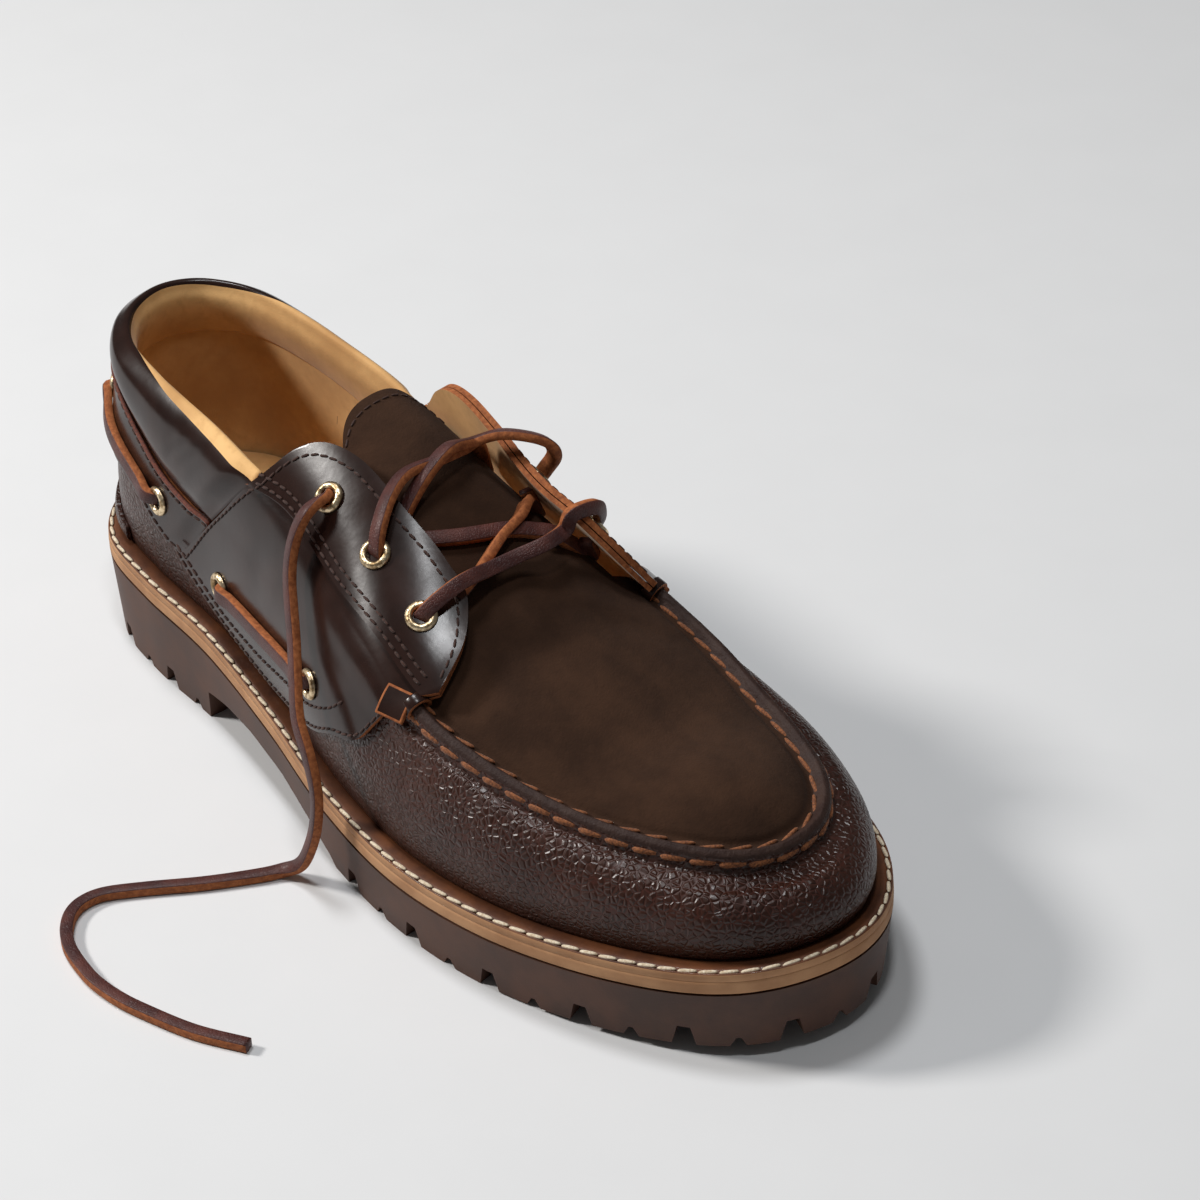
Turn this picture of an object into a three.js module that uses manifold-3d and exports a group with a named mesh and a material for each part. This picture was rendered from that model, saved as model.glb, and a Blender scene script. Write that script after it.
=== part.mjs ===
// A boat shoe for the right foot, standing empty on its sole.
// Millimetres. +X runs from heel to toe, +Y to the inner side of the foot, +Z up from the floor.
// Every piece is worked out from one last: a closed form with two coordinates, turn and level.
// Turn runs once round the foot, 0 at the heel, a half turn at the toe, outer side first.
// Level runs up the wall, 0 at the feather edge, 4 at the seam or collar line, 5 on the crown.

import * as THREE from 'three';
import { mergeVertices } from 'three/addons/utils/BufferGeometryUtils.js';
import Module from 'manifold-3d';

const wasm = await Module();
wasm.setup();

// Driving dimensions of the last

const SHOE_LENGTH = 305;
const BALL_WIDTH = 113;
const COLLAR_HEIGHT = 67;
const INSTEP_HEIGHT = 86;
const HEEL_RISE = 27;
const TOE_SPRING = 5.2;
const WAIST_RISE = 12.5;

// Thicknesses, ledges and clearances

const GAP = 0.3;
const LAYER_GAP = 0.5;
const WALL = 2.2;
const MIDSOLE_THICKNESS = 4;
const WELT_THICKNESS = 2.5;
const WELT_WIDTH = 10;
const WELT_STEP = 0.8;
const WELT_LEDGE = 6;
const INSOLE_THICKNESS = 4.5;
const TONGUE_THICKNESS = 2.4;
const SADDLE_THICKNESS = 1.4;
const SEAM_STEP = 0.006;
const EYESTAY_THICKNESS = 1.3;
const QUARTER_THICKNESS = 1.2;
const COLLAR_PADDING = 3.2;
const MOC_RIDGE = 3.6;
const HEEL_PATCH_THICKNESS = 2.6;
const HEEL_PATCH_WIDTH = 64;
const KEEPER_SIDE = 8.5;
const KEEPER_THICKNESS = 1.4;

// Lugs of the sole

const LUG_DEPTH = 6.2;
const LUG_PITCH = 14.4;
const NOTCH_WIDTH = 5;
const STEP_DEPTH = 2.8;
const STEP_WIDTH = 3.4;
const LUG_REACH = 11;
const SOLE_TAPER = 1.8;
const TREAD_DEPTH = 4.6;
const TREAD_MARGIN = 13;
const TREAD_BAR = 9;
const TREAD_BAR_PITCH = 23;

// Eyelets and rawhide lace

const EYELET_RADIUS = 4.5;
const EYELET_BORE = 2.3;
const EYELET_BARREL = 2.9;
const EYELET_DOME = 1.2;
const EYELET_LENGTH = 1;
const EYELET_SIDES = 8;
const LACE_WIDTH = 3.6;
const LACE_THICKNESS = 2.4;

// Shape tables, in shares of the sizes above

const OUTLINE = [
  { along: 0.03, outer: 0.212, inner: 0.2 },
  { along: 0.08, outer: 0.31, inner: 0.292 },
  { along: 0.16, outer: 0.352, inner: 0.327 },
  { along: 0.28, outer: 0.372, inner: 0.323 },
  { along: 0.4, outer: 0.425, inner: 0.315 },
  { along: 0.52, outer: 0.496, inner: 0.363 },
  { along: 0.64, outer: 0.529, inner: 0.445 },
  { along: 0.74, outer: 0.505, inner: 0.474 },
  { along: 0.82, outer: 0.447, inner: 0.457 },
  { along: 0.9, outer: 0.352, inner: 0.386 },
  { along: 0.96, outer: 0.232, inner: 0.27 },
];
const TOE_POINT = 0.035;

const SOLE_PROFILE = [
  { along: 0, rise: 1 },
  { along: 0.25, rise: 0.963 },
  { along: 0.42, rise: 0.796 },
  { along: 0.62, rise: 0.648 },
  { along: 0.75, rise: 0.667 },
  { along: 0.9, rise: 0.759 },
  { along: 1, rise: 0.889 },
];

const TREAD_PROFILE = [
  { along: 0, spring: 0 },
  { along: 0.7, spring: 0 },
  { along: 0.8, spring: 0.15 },
  { along: 0.9, spring: 0.5 },
  { along: 1, spring: 1 },
];

// Widths as shares of the feather edge, heights over it as shares of collar and instep height
const SECTIONS = [
  { along: 0, lowOut: 1.05, lowUp: 0.143, midOut: 1.03, midUp: 0.352, highOut: 0.93, highUp: 0.681,
    topOut: 0.85, topUp: 0.98, crown: 0.995 },
  { along: 0.1, lowOut: 1.03, lowUp: 0.117, midOut: 1.02, midUp: 0.326, highOut: 0.93, highUp: 0.654,
    topOut: 0.81, topUp: 0.935, crown: 0.986 },
  { along: 0.2, lowOut: 1.02, lowUp: 0.115, midOut: 1.02, midUp: 0.309, highOut: 0.955, highUp: 0.622,
    topOut: 0.83, topUp: 0.913, crown: 0.996 },
  { along: 0.3, lowOut: 1.02, lowUp: 0.117, midOut: 1.02, midUp: 0.311, highOut: 0.97, highUp: 0.595,
    topOut: 0.85, topUp: 0.908, crown: 0.998 },
  { along: 0.4, lowOut: 1.02, lowUp: 0.114, midOut: 1.02, midUp: 0.308, highOut: 0.96, highUp: 0.591,
    topOut: 0.8, topUp: 0.875, crown: 0.961 },
  { along: 0.48, lowOut: 1.02, lowUp: 0.128, midOut: 1.02, midUp: 0.322, highOut: 0.95, highUp: 0.575,
    topOut: 0.79, topUp: 0.799, crown: 0.878 },
  { along: 0.56, lowOut: 1.025, lowUp: 0.124, midOut: 1.02, midUp: 0.318, highOut: 0.95, highUp: 0.527,
    topOut: 0.82, topUp: 0.721, crown: 0.725 },
  { along: 0.62, lowOut: 1.03, lowUp: 0.121, midOut: 1.02, midUp: 0.285, highOut: 0.95, highUp: 0.464,
    topOut: 0.85, topUp: 0.599, crown: 0.606 },
  { along: 0.7, lowOut: 1.035, lowUp: 0.119, midOut: 1.02, midUp: 0.269, highOut: 0.94, highUp: 0.418,
    topOut: 0.82, topUp: 0.507, crown: 0.5 },
  { along: 0.8, lowOut: 1.035, lowUp: 0.119, midOut: 1.01, midUp: 0.239, highOut: 0.93, highUp: 0.351,
    topOut: 0.79, topUp: 0.411, crown: 0.401 },
  { along: 0.9, lowOut: 1.035, lowUp: 0.106, midOut: 1, midUp: 0.21, highOut: 0.91, highUp: 0.285,
    topOut: 0.79, topUp: 0.322, crown: 0.401 },
  { along: 1, lowOut: 1.03, lowUp: 0.084, midOut: 0.985, midUp: 0.166, highOut: 0.88, highUp: 0.225,
    topOut: 0.74, topUp: 0.24, crown: 0.401 },
];

// Spine that the sections lean towards; it ends short of heel and toe
const SPINE = [
  { along: 0.4, out: 0 },
  { along: 0.6, out: -0.027 },
  { along: 0.75, out: -0.027 },
  { along: 0.85, out: 0 },
  { along: 1, out: 0.044 },
];
const SPINE_BACK = 0.1;
const SPINE_FRONT = 0.83;
const SPINE_EASE = 0.06;

// Panel edges on the last: share of length and level
const OPENING = [
  { along: 0, level: 3.84 },
  { along: 0.34, level: 3.84 },
  { along: 0.39, level: 4.1 },
  { along: 0.6, level: 4.12 },
  { along: 0.604, level: 4.35 },
  { along: 0.608, level: 4.55 },
  { along: 0.614, level: 4.8 },
  { along: 0.62, level: 5 },
];
const MOC_START = 0.63;
const MOC_FULL = 0.65;
const COLLAR_FOOT = [
  { along: 0, level: 3.5 },
  { along: 0.09, level: 3.42 },
  { along: 0.15, level: 3.07 },
  { along: 0.2, level: 2.86 },
  { along: 0.27, level: 2.8 },
];
const QUARTER_FOOT = [
  { along: 0, level: 2.3 },
  { along: 0.06, level: 2.28 },
  { along: 0.13, level: 2.2 },
  { along: 0.19, level: 1.84 },
  { along: 0.23, level: 1.6 },
];
const SADDLE_FOOT = [
  { share: 0, along: 0.218, level: 1.73 },
  { share: 0.16, along: 0.28, level: 0.98 },
  { share: 0.34, along: 0.367, level: 0.8 },
  { share: 0.55, along: 0.478, level: 1.3 },
  { share: 0.68, along: 0.53, level: 1.9 },
  { share: 0.79, along: 0.567, level: 2.3 },
  { share: 0.9, along: 0.589, level: 2.98 },
  { share: 0.95, along: 0.603, level: 3.6 },
  { share: 1, along: 0.622, level: 4.08 },
];
const FACING_TOP = [
  { share: 0, along: 0.34, level: 3.96 },
  { share: 0.1, along: 0.363, level: 4.14 },
  { share: 0.2, along: 0.382, level: 4.31 },
  { share: 0.3, along: 0.403, level: 4.43 },
  { share: 0.42, along: 0.438, level: 4.52 },
  { share: 0.6, along: 0.5, level: 4.57 },
  { share: 0.76, along: 0.556, level: 4.62 },
  { share: 0.88, along: 0.592, level: 4.59 },
  { share: 0.95, along: 0.618, level: 4.42 },
  { share: 1, along: 0.634, level: 4.2 },
];
const EYESTAY_FOOT = [
  { share: 0, along: 0.347, level: 3.99 },
  { share: 0.15, along: 0.385, level: 4.04 },
  { share: 0.6, along: 0.5, level: 4.05 },
  { share: 0.88, along: 0.592, level: 4.1 },
  { share: 1, along: 0.624, level: 4.12 },
];
const REAR_SEAM = [
  { level: 1.5, along: 0.208 },
  { level: 2.75, along: 0.266 },
  { level: 3.95, along: 0.336 },
];
const FLAP_ROOT = 3.9;
const FLAP_LEAN = [
  { along: 0.4, lean: 0.16 },
  { along: 0.47, lean: 0.3 },
  { along: 0.56, lean: 0.6 },
];
const FLAP_BEND = 14;
const FLAP_LIFT = 1.4;
const KEEPER = { along: 0.597, level: 3.72 };
const KEEPER_TILT = 0.5;
const KNOT_RADIUS = 2.4;
const KNOT_CORD = 2;
const FACING_EYELETS = [
  { name: 'front', along: 0.576, level: 4.33 },
  { name: 'middle', along: 0.511, level: 4.31 },
  { name: 'top', along: 0.44, level: 4.28 },
];
const SIDE_EYELETS = [
  { name: 'front', along: 0.485, level: 2.33, panel: 'saddle' },
  { name: 'middle', along: 0.297, level: 1.95, panel: 'saddle' },
  { name: 'rear', along: 0.185, level: 2.4, panel: 'quarter' },
  { name: 'heel', along: 0.033, level: 2.9, panel: 'quarter' },
];

// Curves through table points

function slopes(x, y, ends) {
  const last = x.length - 1;
  const rise = (i) => (y[i + 1] - y[i]) / (x[i + 1] - x[i]);
  const m = x.map((_, i) => {
    if (i === 0 || i === last || rise(i - 1) === 0 || rise(i) === 0) return 0;
    const before = x[i] - x[i - 1];
    const after = x[i + 1] - x[i];
    return (rise(i - 1) * after + rise(i) * before) / (before + after);
  });
  if (ends === 'free') {
    m[0] = 1.5 * rise(0) - 0.5 * m[1];
    m[last] = 1.5 * rise(last - 1) - 0.5 * m[last - 1];
  }
  return m;
}

function fair(x, y, ends = 'flat') {
  const m = slopes(x, y, ends);
  return (at) => {
    const clamped = Math.min(Math.max(at, x[0]), x[x.length - 1]);
    let i = 0;
    while (i < x.length - 2 && clamped > x[i + 1]) i += 1;
    const h = x[i + 1] - x[i];
    const t = (clamped - x[i]) / h;
    return (2 * t ** 3 - 3 * t ** 2 + 1) * y[i] + (t ** 3 - 2 * t ** 2 + t) * h * m[i]
      + (-2 * t ** 3 + 3 * t ** 2) * y[i + 1] + (t ** 3 - t ** 2) * h * m[i + 1];
  };
}

const turnAt = (along) => Math.acos(1 - 2 * Math.min(Math.max(along, 0), 1));
const alongAt = (turn) => (1 - Math.cos(turn)) / 2;
const mirrored = (turn) => 2 * Math.PI - turn;

// A column of a table against the turn, so that it runs smoothly round heel and toe
function column(rows, name) {
  const curve = fair(rows.map((row) => turnAt(row.along)), rows.map((row) => row[name]));
  return (along) => curve(turnAt(along));
}

function against(rows, key, name) {
  return fair(rows.map((row) => row[key]), rows.map((row) => row[name]), 'free');
}

// Outline of the sole

function outlineCurve() {
  const outer = OUTLINE.map((row) => [turnAt(row.along), -row.outer]);
  const inner = OUTLINE.map((row) => [mirrored(turnAt(row.along)), row.inner]).reverse();
  const ring = [[0, 0], ...outer, [Math.PI, TOE_POINT], ...inner];
  const shifted = (by) => ring.map(([turn, out]) => [turn + by, out]);
  const knots = [...shifted(-2 * Math.PI).slice(-3), ...ring, ...shifted(2 * Math.PI).slice(0, 3)];
  return fair(knots.map((knot) => knot[0]), knots.map((knot) => knot[1]), 'free');
}

const outlineShare = outlineCurve();
const SMALL = 1e-3;

function outlinePoint(turn) {
  const whole = ((turn % (2 * Math.PI)) + 2 * Math.PI) % (2 * Math.PI);
  return new THREE.Vector2(-Math.cos(whole) * SHOE_LENGTH / 2, outlineShare(whole) * BALL_WIDTH);
}

function outlineFrame(turn) {
  const travel = outlinePoint(turn + SMALL).sub(outlinePoint(turn - SMALL)).normalize();
  return { point: outlinePoint(turn), travel, inward: new THREE.Vector2(-travel.y, travel.x) };
}

function edgePoint(turn, inset) {
  const { point, inward } = outlineFrame(turn);
  return point.addScaledVector(inward, inset);
}

// Heights that follow the sole's profile

const share = (x) => x / SHOE_LENGTH + 0.5;
const soleShare = column(SOLE_PROFILE, 'rise');
const springShare = column(TREAD_PROFILE, 'spring');
const soleTop = (x) => HEEL_RISE * soleShare(share(x));
const treadLevel = (x) => TOE_SPRING * springShare(share(x));
const midsoleBottom = (x) => soleTop(x) + GAP;
const midsoleTop = (x) => midsoleBottom(x) + MIDSOLE_THICKNESS;
const weltBottom = (x) => midsoleTop(x) + GAP;
const weltTop = (x) => weltBottom(x) + WELT_THICKNESS;
const featherHeight = (x) => weltTop(x) + GAP;

// The last

const sectionColumns = Object.fromEntries(
  Object.keys(SECTIONS[0]).filter((name) => name !== 'along').map((name) => [name, column(SECTIONS, name)]),
);
const spineShare = column(SPINE, 'out');
const flapLean = column(FLAP_LEAN, 'lean');

function eased(along) {
  const soft = (past) => SPINE_EASE * (1 - Math.exp(-past / SPINE_EASE));
  if (along > SPINE_FRONT - SPINE_EASE) {
    return SPINE_FRONT - SPINE_EASE + soft(along - SPINE_FRONT + SPINE_EASE);
  }
  if (along < SPINE_BACK + SPINE_EASE) {
    return SPINE_BACK + SPINE_EASE - soft(SPINE_BACK + SPINE_EASE - along);
  }
  return along;
}

function ribKnots(turn) {
  const along = alongAt(turn);
  const spine = eased(along);
  const centre = new THREE.Vector2((spine - 0.5) * SHOE_LENGTH, spineShare(spine) * BALL_WIDTH);
  const edge = edgePoint(turn, WELT_LEDGE);
  const at = Object.fromEntries(Object.entries(sectionColumns).map(([name, curve]) => [name, curve(along)]));
  const foot = featherHeight(edge.x);
  const height = (part) => foot + part * COLLAR_HEIGHT;
  const crown = featherHeight(centre.x) + sectionColumns.crown(spine) * INSTEP_HEIGHT;
  const shoulder = crown - (crown - height(at.topUp)) * 0.22;
  const out = [1, at.lowOut, at.midOut, at.highOut, at.topOut, at.topOut / 2, 0, -at.topOut / 2];
  const up = [foot, height(at.lowUp), height(at.midUp), height(at.highUp), height(at.topUp),
    shoulder, crown, shoulder];
  out.unshift(2 * out[0] - out[1]);
  up.unshift(2 * up[0] - up[1]);
  return { centre, edge, out, up };
}

const ribStore = new Map();

function rib(turn) {
  const key = turn.toFixed(7);
  if (!ribStore.has(key)) ribStore.set(key, ribKnots(turn));
  return ribStore.get(key);
}

function catmull(values, i, t) {
  const [a, b, c, d] = values.slice(i, i + 4);
  return 0.5 * (2 * b + (c - a) * t + (2 * a - 5 * b + 4 * c - d) * t ** 2 + (3 * b - a - 3 * c + d) * t ** 3);
}

function lastBase(turn, level) {
  if (level > 5) return lastBase(mirrored(turn), 10 - level);
  const { centre, edge, out, up } = rib(turn);
  const knot = level <= 4 ? level : 4 + (level - 4) * 2;
  const i = Math.min(Math.max(Math.floor(knot), 0), 5);
  const reach = catmull(out, i, knot - i);
  const flat = edge.clone().sub(centre).multiplyScalar(reach).add(centre);
  return new THREE.Vector3(flat.x, flat.y, catmull(up, i, knot - i));
}

function lastNormal(turn, level) {
  if (level > 5) return lastNormal(mirrored(turn), 10 - level);
  const below = Math.max(level - SMALL, 0);
  const round = lastBase(turn + SMALL, level).sub(lastBase(turn - SMALL, level));
  const upward = lastBase(turn, level + SMALL).sub(lastBase(turn, below));
  return round.cross(upward).normalize();
}

const last = (turn, level, off) => lastBase(turn, level).addScaledVector(lastNormal(turn, level), off);

// The facings: the outer one lies over the tongue, the inner one bends up from its root and stands
function facingBase(turn, level) {
  if (level <= FLAP_ROOT) return lastBase(turn, level);
  if (turn < Math.PI) {
    const lift = FLAP_LIFT * THREE.MathUtils.smoothstep(level, FLAP_ROOT, FLAP_ROOT + 0.4);
    return last(turn, level, lift);
  }
  const root = lastBase(turn, FLAP_ROOT);
  const length = lastBase(turn, level).distanceTo(root);
  const rising = root.clone().sub(lastBase(turn, FLAP_ROOT - SMALL)).normalize();
  const lean = flapLean(alongAt(turn));
  const standing = new THREE.Vector3(0, -Math.sin(lean), Math.cos(lean));
  const bent = Math.min(length, FLAP_BEND) ** 2 / (2 * FLAP_BEND) + Math.max(length - FLAP_BEND, 0);
  return root.addScaledVector(rising, length - bent).addScaledVector(standing, bent);
}

function facing(turn, level, off) {
  if (level <= FLAP_ROOT - 4 * SMALL) return last(turn, level, off);
  const round = facingBase(turn + SMALL, level).sub(facingBase(turn - SMALL, level));
  const upward = facingBase(turn, level + SMALL).sub(facingBase(turn, level - SMALL));
  return facingBase(turn, level).addScaledVector(round.cross(upward).normalize(), off);
}

// Meshes

function tidy(geometry) {
  const bare = new THREE.BufferGeometry();
  bare.setAttribute('position', geometry.getAttribute('position').clone());
  if (geometry.index) bare.setIndex(geometry.index.clone());
  const merged = mergeVertices(bare, 1e-3);
  const index = Array.from(merged.index.array);
  const kept = [];
  for (let i = 0; i < index.length; i += 3) {
    const [a, b, c] = index.slice(i, i + 3);
    if (a !== b && b !== c && c !== a) kept.push(a, b, c);
  }
  merged.setIndex(kept);
  if (volume(merged) < 0) {
    for (let i = 0; i < kept.length; i += 3) [kept[i], kept[i + 1]] = [kept[i + 1], kept[i]];
    merged.setIndex(kept);
  }
  return merged;
}

function volume(geometry) {
  const position = geometry.getAttribute('position');
  const corner = (i) => new THREE.Vector3().fromBufferAttribute(position, geometry.index.array[i]);
  let sum = 0;
  for (let i = 0; i < geometry.index.count; i += 3) {
    sum += corner(i).dot(corner(i + 1).cross(corner(i + 2)));
  }
  return sum / 6;
}

// A wall between two grids of points, closed at its rims, and at its ends unless it runs in a loop
function shell(front, back, { loop = false, welded = () => false } = {}) {
  const count = front.length;
  const rows = front[0].length;
  const points = [...front.flat(), ...back.flat()];
  const f = (i, j) => (i % count) * rows + j;
  const b = (i, j) => count * rows + (i % count) * rows + j;
  const faces = [];
  const quad = (p, q, r, s) => faces.push(p, q, r, p, r, s);
  for (let i = 0; i < (loop ? count : count - 1); i += 1) {
    for (let j = 0; j < rows - 1; j += 1) {
      quad(f(i, j), f(i + 1, j), f(i + 1, j + 1), f(i, j + 1));
      quad(b(i, j), b(i, j + 1), b(i + 1, j + 1), b(i + 1, j));
    }
    quad(f(i, 0), b(i, 0), b(i + 1, 0), f(i + 1, 0));
    if (!welded(i, (i + 1) % count)) {
      quad(f(i, rows - 1), f(i + 1, rows - 1), b(i + 1, rows - 1), b(i, rows - 1));
    }
  }
  if (!loop) {
    for (let j = 0; j < rows - 1; j += 1) {
      quad(f(0, j), f(0, j + 1), b(0, j + 1), b(0, j));
      quad(f(count - 1, j), b(count - 1, j), b(count - 1, j + 1), f(count - 1, j + 1));
    }
  }
  const geometry = new THREE.BufferGeometry();
  geometry.setAttribute('position', new THREE.Float32BufferAttribute(points.flatMap((p) => p.toArray()), 3));
  geometry.setIndex(faces);
  return tidy(geometry);
}

function solid(geometry) {
  const closed = tidy(geometry);
  return new wasm.Manifold(new wasm.Mesh({
    numProp: 3,
    vertProperties: new Float32Array(closed.getAttribute('position').array),
    triVerts: new Uint32Array(closed.index.array),
  }));
}

function surface(body) {
  const mesh = body.getMesh();
  const geometry = new THREE.BufferGeometry();
  geometry.setAttribute('position', new THREE.BufferAttribute(new Float32Array(mesh.vertProperties), 3));
  geometry.setIndex(new THREE.BufferAttribute(new Uint32Array(mesh.triVerts), 1));
  return geometry;
}

const cutAll = (body, tools) => tools.reduce((left, tool) => left.subtract(solid(tool)), body);
const joinAll = (body, more) => more.reduce((sum, next) => sum.add(solid(next)), body);
const steps = (count) => Array.from({ length: count + 1 }, (_, i) => i / count);
const mix = THREE.MathUtils.lerp;

// Sole layers

function slab({ from = 0, to = 1, count = 30, topInset, bottomInset, top, bottom }) {
  const stations = steps(count).map((t) => mix(turnAt(from), turnAt(to), t));
  const pair = (turn, inset, height) => [turn, mirrored(turn)].map((side) => {
    const point = edgePoint(side, inset);
    return new THREE.Vector3(point.x, point.y, height(point.x));
  });
  return shell(
    stations.map((turn) => pair(turn, topInset, top)),
    stations.map((turn) => pair(turn, bottomInset, bottom)),
  );
}

// A block on the sole's edge, standing across it; sizes are along the edge, inwards and up
function edgeBlock(turn, { footWidth, headWidth, out, reach, low, high }) {
  const { point, travel, inward } = outlineFrame(turn);
  const block = new THREE.BoxGeometry(1, 1, 1);
  const position = block.getAttribute('position');
  for (let i = 0; i < position.count; i += 1) {
    const up = position.getZ(i) > 0;
    const width = up ? headWidth : footWidth;
    const deep = position.getY(i) > 0 ? reach : -out;
    const at = point.clone().addScaledVector(travel, position.getX(i) * width).addScaledVector(inward, deep);
    position.setXYZ(i, at.x, at.y, up ? high : low);
  }
  return block;
}

// Turns spaced evenly along the sole's edge
function spacedTurns(from, to, pitch) {
  const fine = steps(400).map((t) => mix(from, to, t));
  const runs = [0];
  for (let i = 1; i < fine.length; i += 1) {
    runs.push(runs[i - 1] + outlinePoint(fine[i]).distanceTo(outlinePoint(fine[i - 1])));
  }
  const total = runs[runs.length - 1];
  const count = Math.max(Math.round(total / pitch), 2);
  return steps(count).map((t) => fine[runs.findIndex((run) => run >= t * total - SMALL)]);
}

const WAIST = [
  { along: 0.257, up: -0.1 },
  { along: 0.262, up: 0.8 },
  { along: 0.3, up: 0.95 },
  { along: 0.35, up: 1 },
  { along: 0.42, up: 0.86 },
  { along: 0.48, up: 0.55 },
  { along: 0.515, up: 0.25 },
  { along: 0.53, up: -0.1 },
];

function waistCut() {
  const shape = new THREE.Shape(
    WAIST.map((row) => new THREE.Vector2((row.along - 0.5) * SHOE_LENGTH, row.up * WAIST_RISE)),
  );
  const cut = new THREE.ExtrudeGeometry(shape, { depth: 2 * BALL_WIDTH, bevelEnabled: false });
  cut.rotateX(Math.PI / 2);
  cut.translate(0, BALL_WIDTH, 0);
  return cut;
}

function notches() {
  const heelEnd = turnAt(0.235);
  const ballStart = turnAt(0.56);
  const runs = [
    spacedTurns(-heelEnd, heelEnd, LUG_PITCH),
    spacedTurns(ballStart, mirrored(ballStart), LUG_PITCH),
  ];
  return runs.flatMap((run) => run.map((turn, i) => {
    const deep = i % 2 === 0;
    const floor = treadLevel(outlinePoint(turn).x);
    return edgeBlock(turn, {
      footWidth: deep ? NOTCH_WIDTH + 2 : STEP_WIDTH + 2,
      headWidth: deep ? NOTCH_WIDTH - 1.5 : STEP_WIDTH / 3,
      out: 3,
      reach: LUG_REACH,
      low: floor - 1,
      high: floor + (deep ? LUG_DEPTH : STEP_DEPTH),
    });
  }));
}

function treadRecess(from, to, inset) {
  return slab({
    from,
    to,
    count: 10,
    topInset: inset,
    bottomInset: inset,
    top: (x) => treadLevel(x) + TREAD_DEPTH,
    bottom: (x) => treadLevel(x) - 1,
  });
}

// Bars of tread across the middle of the recess, each standing on its roof
function treadBars(from, to) {
  const room = solid(slab({
    from,
    to,
    count: 10,
    topInset: TREAD_MARGIN + 4,
    bottomInset: TREAD_MARGIN + 4,
    top: (x) => treadLevel(x) + TREAD_DEPTH + 1,
    bottom: treadLevel,
  }));
  const start = (from - 0.5) * SHOE_LENGTH;
  const length = (to - from) * SHOE_LENGTH;
  const count = Math.floor(length / TREAD_BAR_PITCH);
  return Array.from({ length: count }, (_, i) => {
    const bar = new THREE.BoxGeometry(TREAD_BAR, 2 * BALL_WIDTH, 4 * TREAD_DEPTH);
    bar.translate(start + (i + 0.5) * length / count, 0, 0);
    return surface(room.intersect(solid(bar)));
  });
}

const HEEL_TREAD = [0.05, 0.215];
const BALL_TREAD = [0.58, 0.95];

function outsole() {
  const block = solid(slab({
    count: 40,
    topInset: 0,
    bottomInset: SOLE_TAPER,
    top: soleTop,
    bottom: treadLevel,
  }));
  const recesses = [HEEL_TREAD, BALL_TREAD].map(([from, to]) => treadRecess(from, to, TREAD_MARGIN));
  const cut = cutAll(block, [waistCut(), ...notches(), ...recesses]);
  return surface(joinAll(cut, [HEEL_TREAD, BALL_TREAD].flatMap(([from, to]) => treadBars(from, to))));
}

const midsole = () => slab({ topInset: 0, bottomInset: 0, top: midsoleTop, bottom: midsoleBottom });

function welt() {
  const turns = steps(56).slice(0, -1).map((t) => t * 2 * Math.PI);
  const ring = (height) => turns.map((turn) => [WELT_STEP, WELT_STEP + WELT_WIDTH].map((inset) => {
    const point = edgePoint(turn, inset);
    return new THREE.Vector3(point.x, point.y, height(point.x));
  }));
  return shell(ring(weltTop), ring(weltBottom), { loop: true });
}

function insole() {
  const lower = slab({
    count: 18,
    topInset: WELT_STEP + WELT_WIDTH + GAP * 2,
    bottomInset: WELT_STEP + WELT_WIDTH + GAP * 2,
    top: (x) => featherHeight(x) + INSOLE_THICKNESS / 2,
    bottom: weltBottom,
  });
  const inset = WELT_LEDGE + WALL + GAP * 4;
  const upperPart = slab({
    count: 18,
    topInset: inset,
    bottomInset: inset,
    top: (x) => featherHeight(x) + INSOLE_THICKNESS,
    bottom: featherHeight,
  });
  return surface(joinAll(solid(lower), [upperPart]));
}

// Upper

// Rows up the wall, as shares of the way to its edge; raised tells where the moc seam stands proud
const WALL_ROWS = [
  { up: 0, raised: 0 },
  { up: 0.13, raised: 0 },
  { up: 0.3, raised: 0 },
  { up: 0.46, raised: 0 },
  { up: 0.61, raised: 0 },
  { up: 0.744, raised: 0 },
  { up: 0.772, raised: 0.8 },
  { up: 0.8, raised: 1 },
  { up: 0.806, raised: 0.75 },
  { up: 0.812, raised: 0 },
  { up: 0.89, raised: 0 },
  { up: 1, raised: 0 },
];
const UPPER_STATIONS = [0, 0.008, 0.03, 0.062, 0.105, 0.16, 0.22, 0.285, 0.34, 0.39, 0.45, 0.51, 0.56, 0.6,
  0.604, 0.608, 0.614, 0.62, 0.65, 0.69, 0.735, 0.785, 0.835, 0.88, 0.92, 0.955, 0.982, 1];

const openingLevel = fair(OPENING.map((row) => row.along), OPENING.map((row) => row.level));
const throatFront = against(OPENING.slice(-5), 'level', 'along');
const ridgeShare = (along) => THREE.MathUtils.smoothstep(along, MOC_START, MOC_FULL);

function aroundTurns(stations) {
  const outer = stations.map(turnAt);
  return [...outer, ...outer.slice(1, -1).reverse().map(mirrored)];
}

function upper() {
  const turns = aroundTurns(UPPER_STATIONS);
  const grid = (off, ridge) => turns.map((turn) => {
    const along = alongAt(turn);
    const level = openingLevel(along);
    return WALL_ROWS.map(({ up, raised }) => {
      const proud = ridge * raised * ridgeShare(along) * MOC_RIDGE;
      return last(turn, Math.min(up * level, 5), off + proud);
    });
  });
  const crowned = (i) => openingLevel(alongAt(turns[i])) > 5 - SMALL;
  return shell(grid(0, 1), grid(-WALL, 0), { loop: true, welded: (i, j) => crowned(i) && crowned(j) });
}

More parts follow.
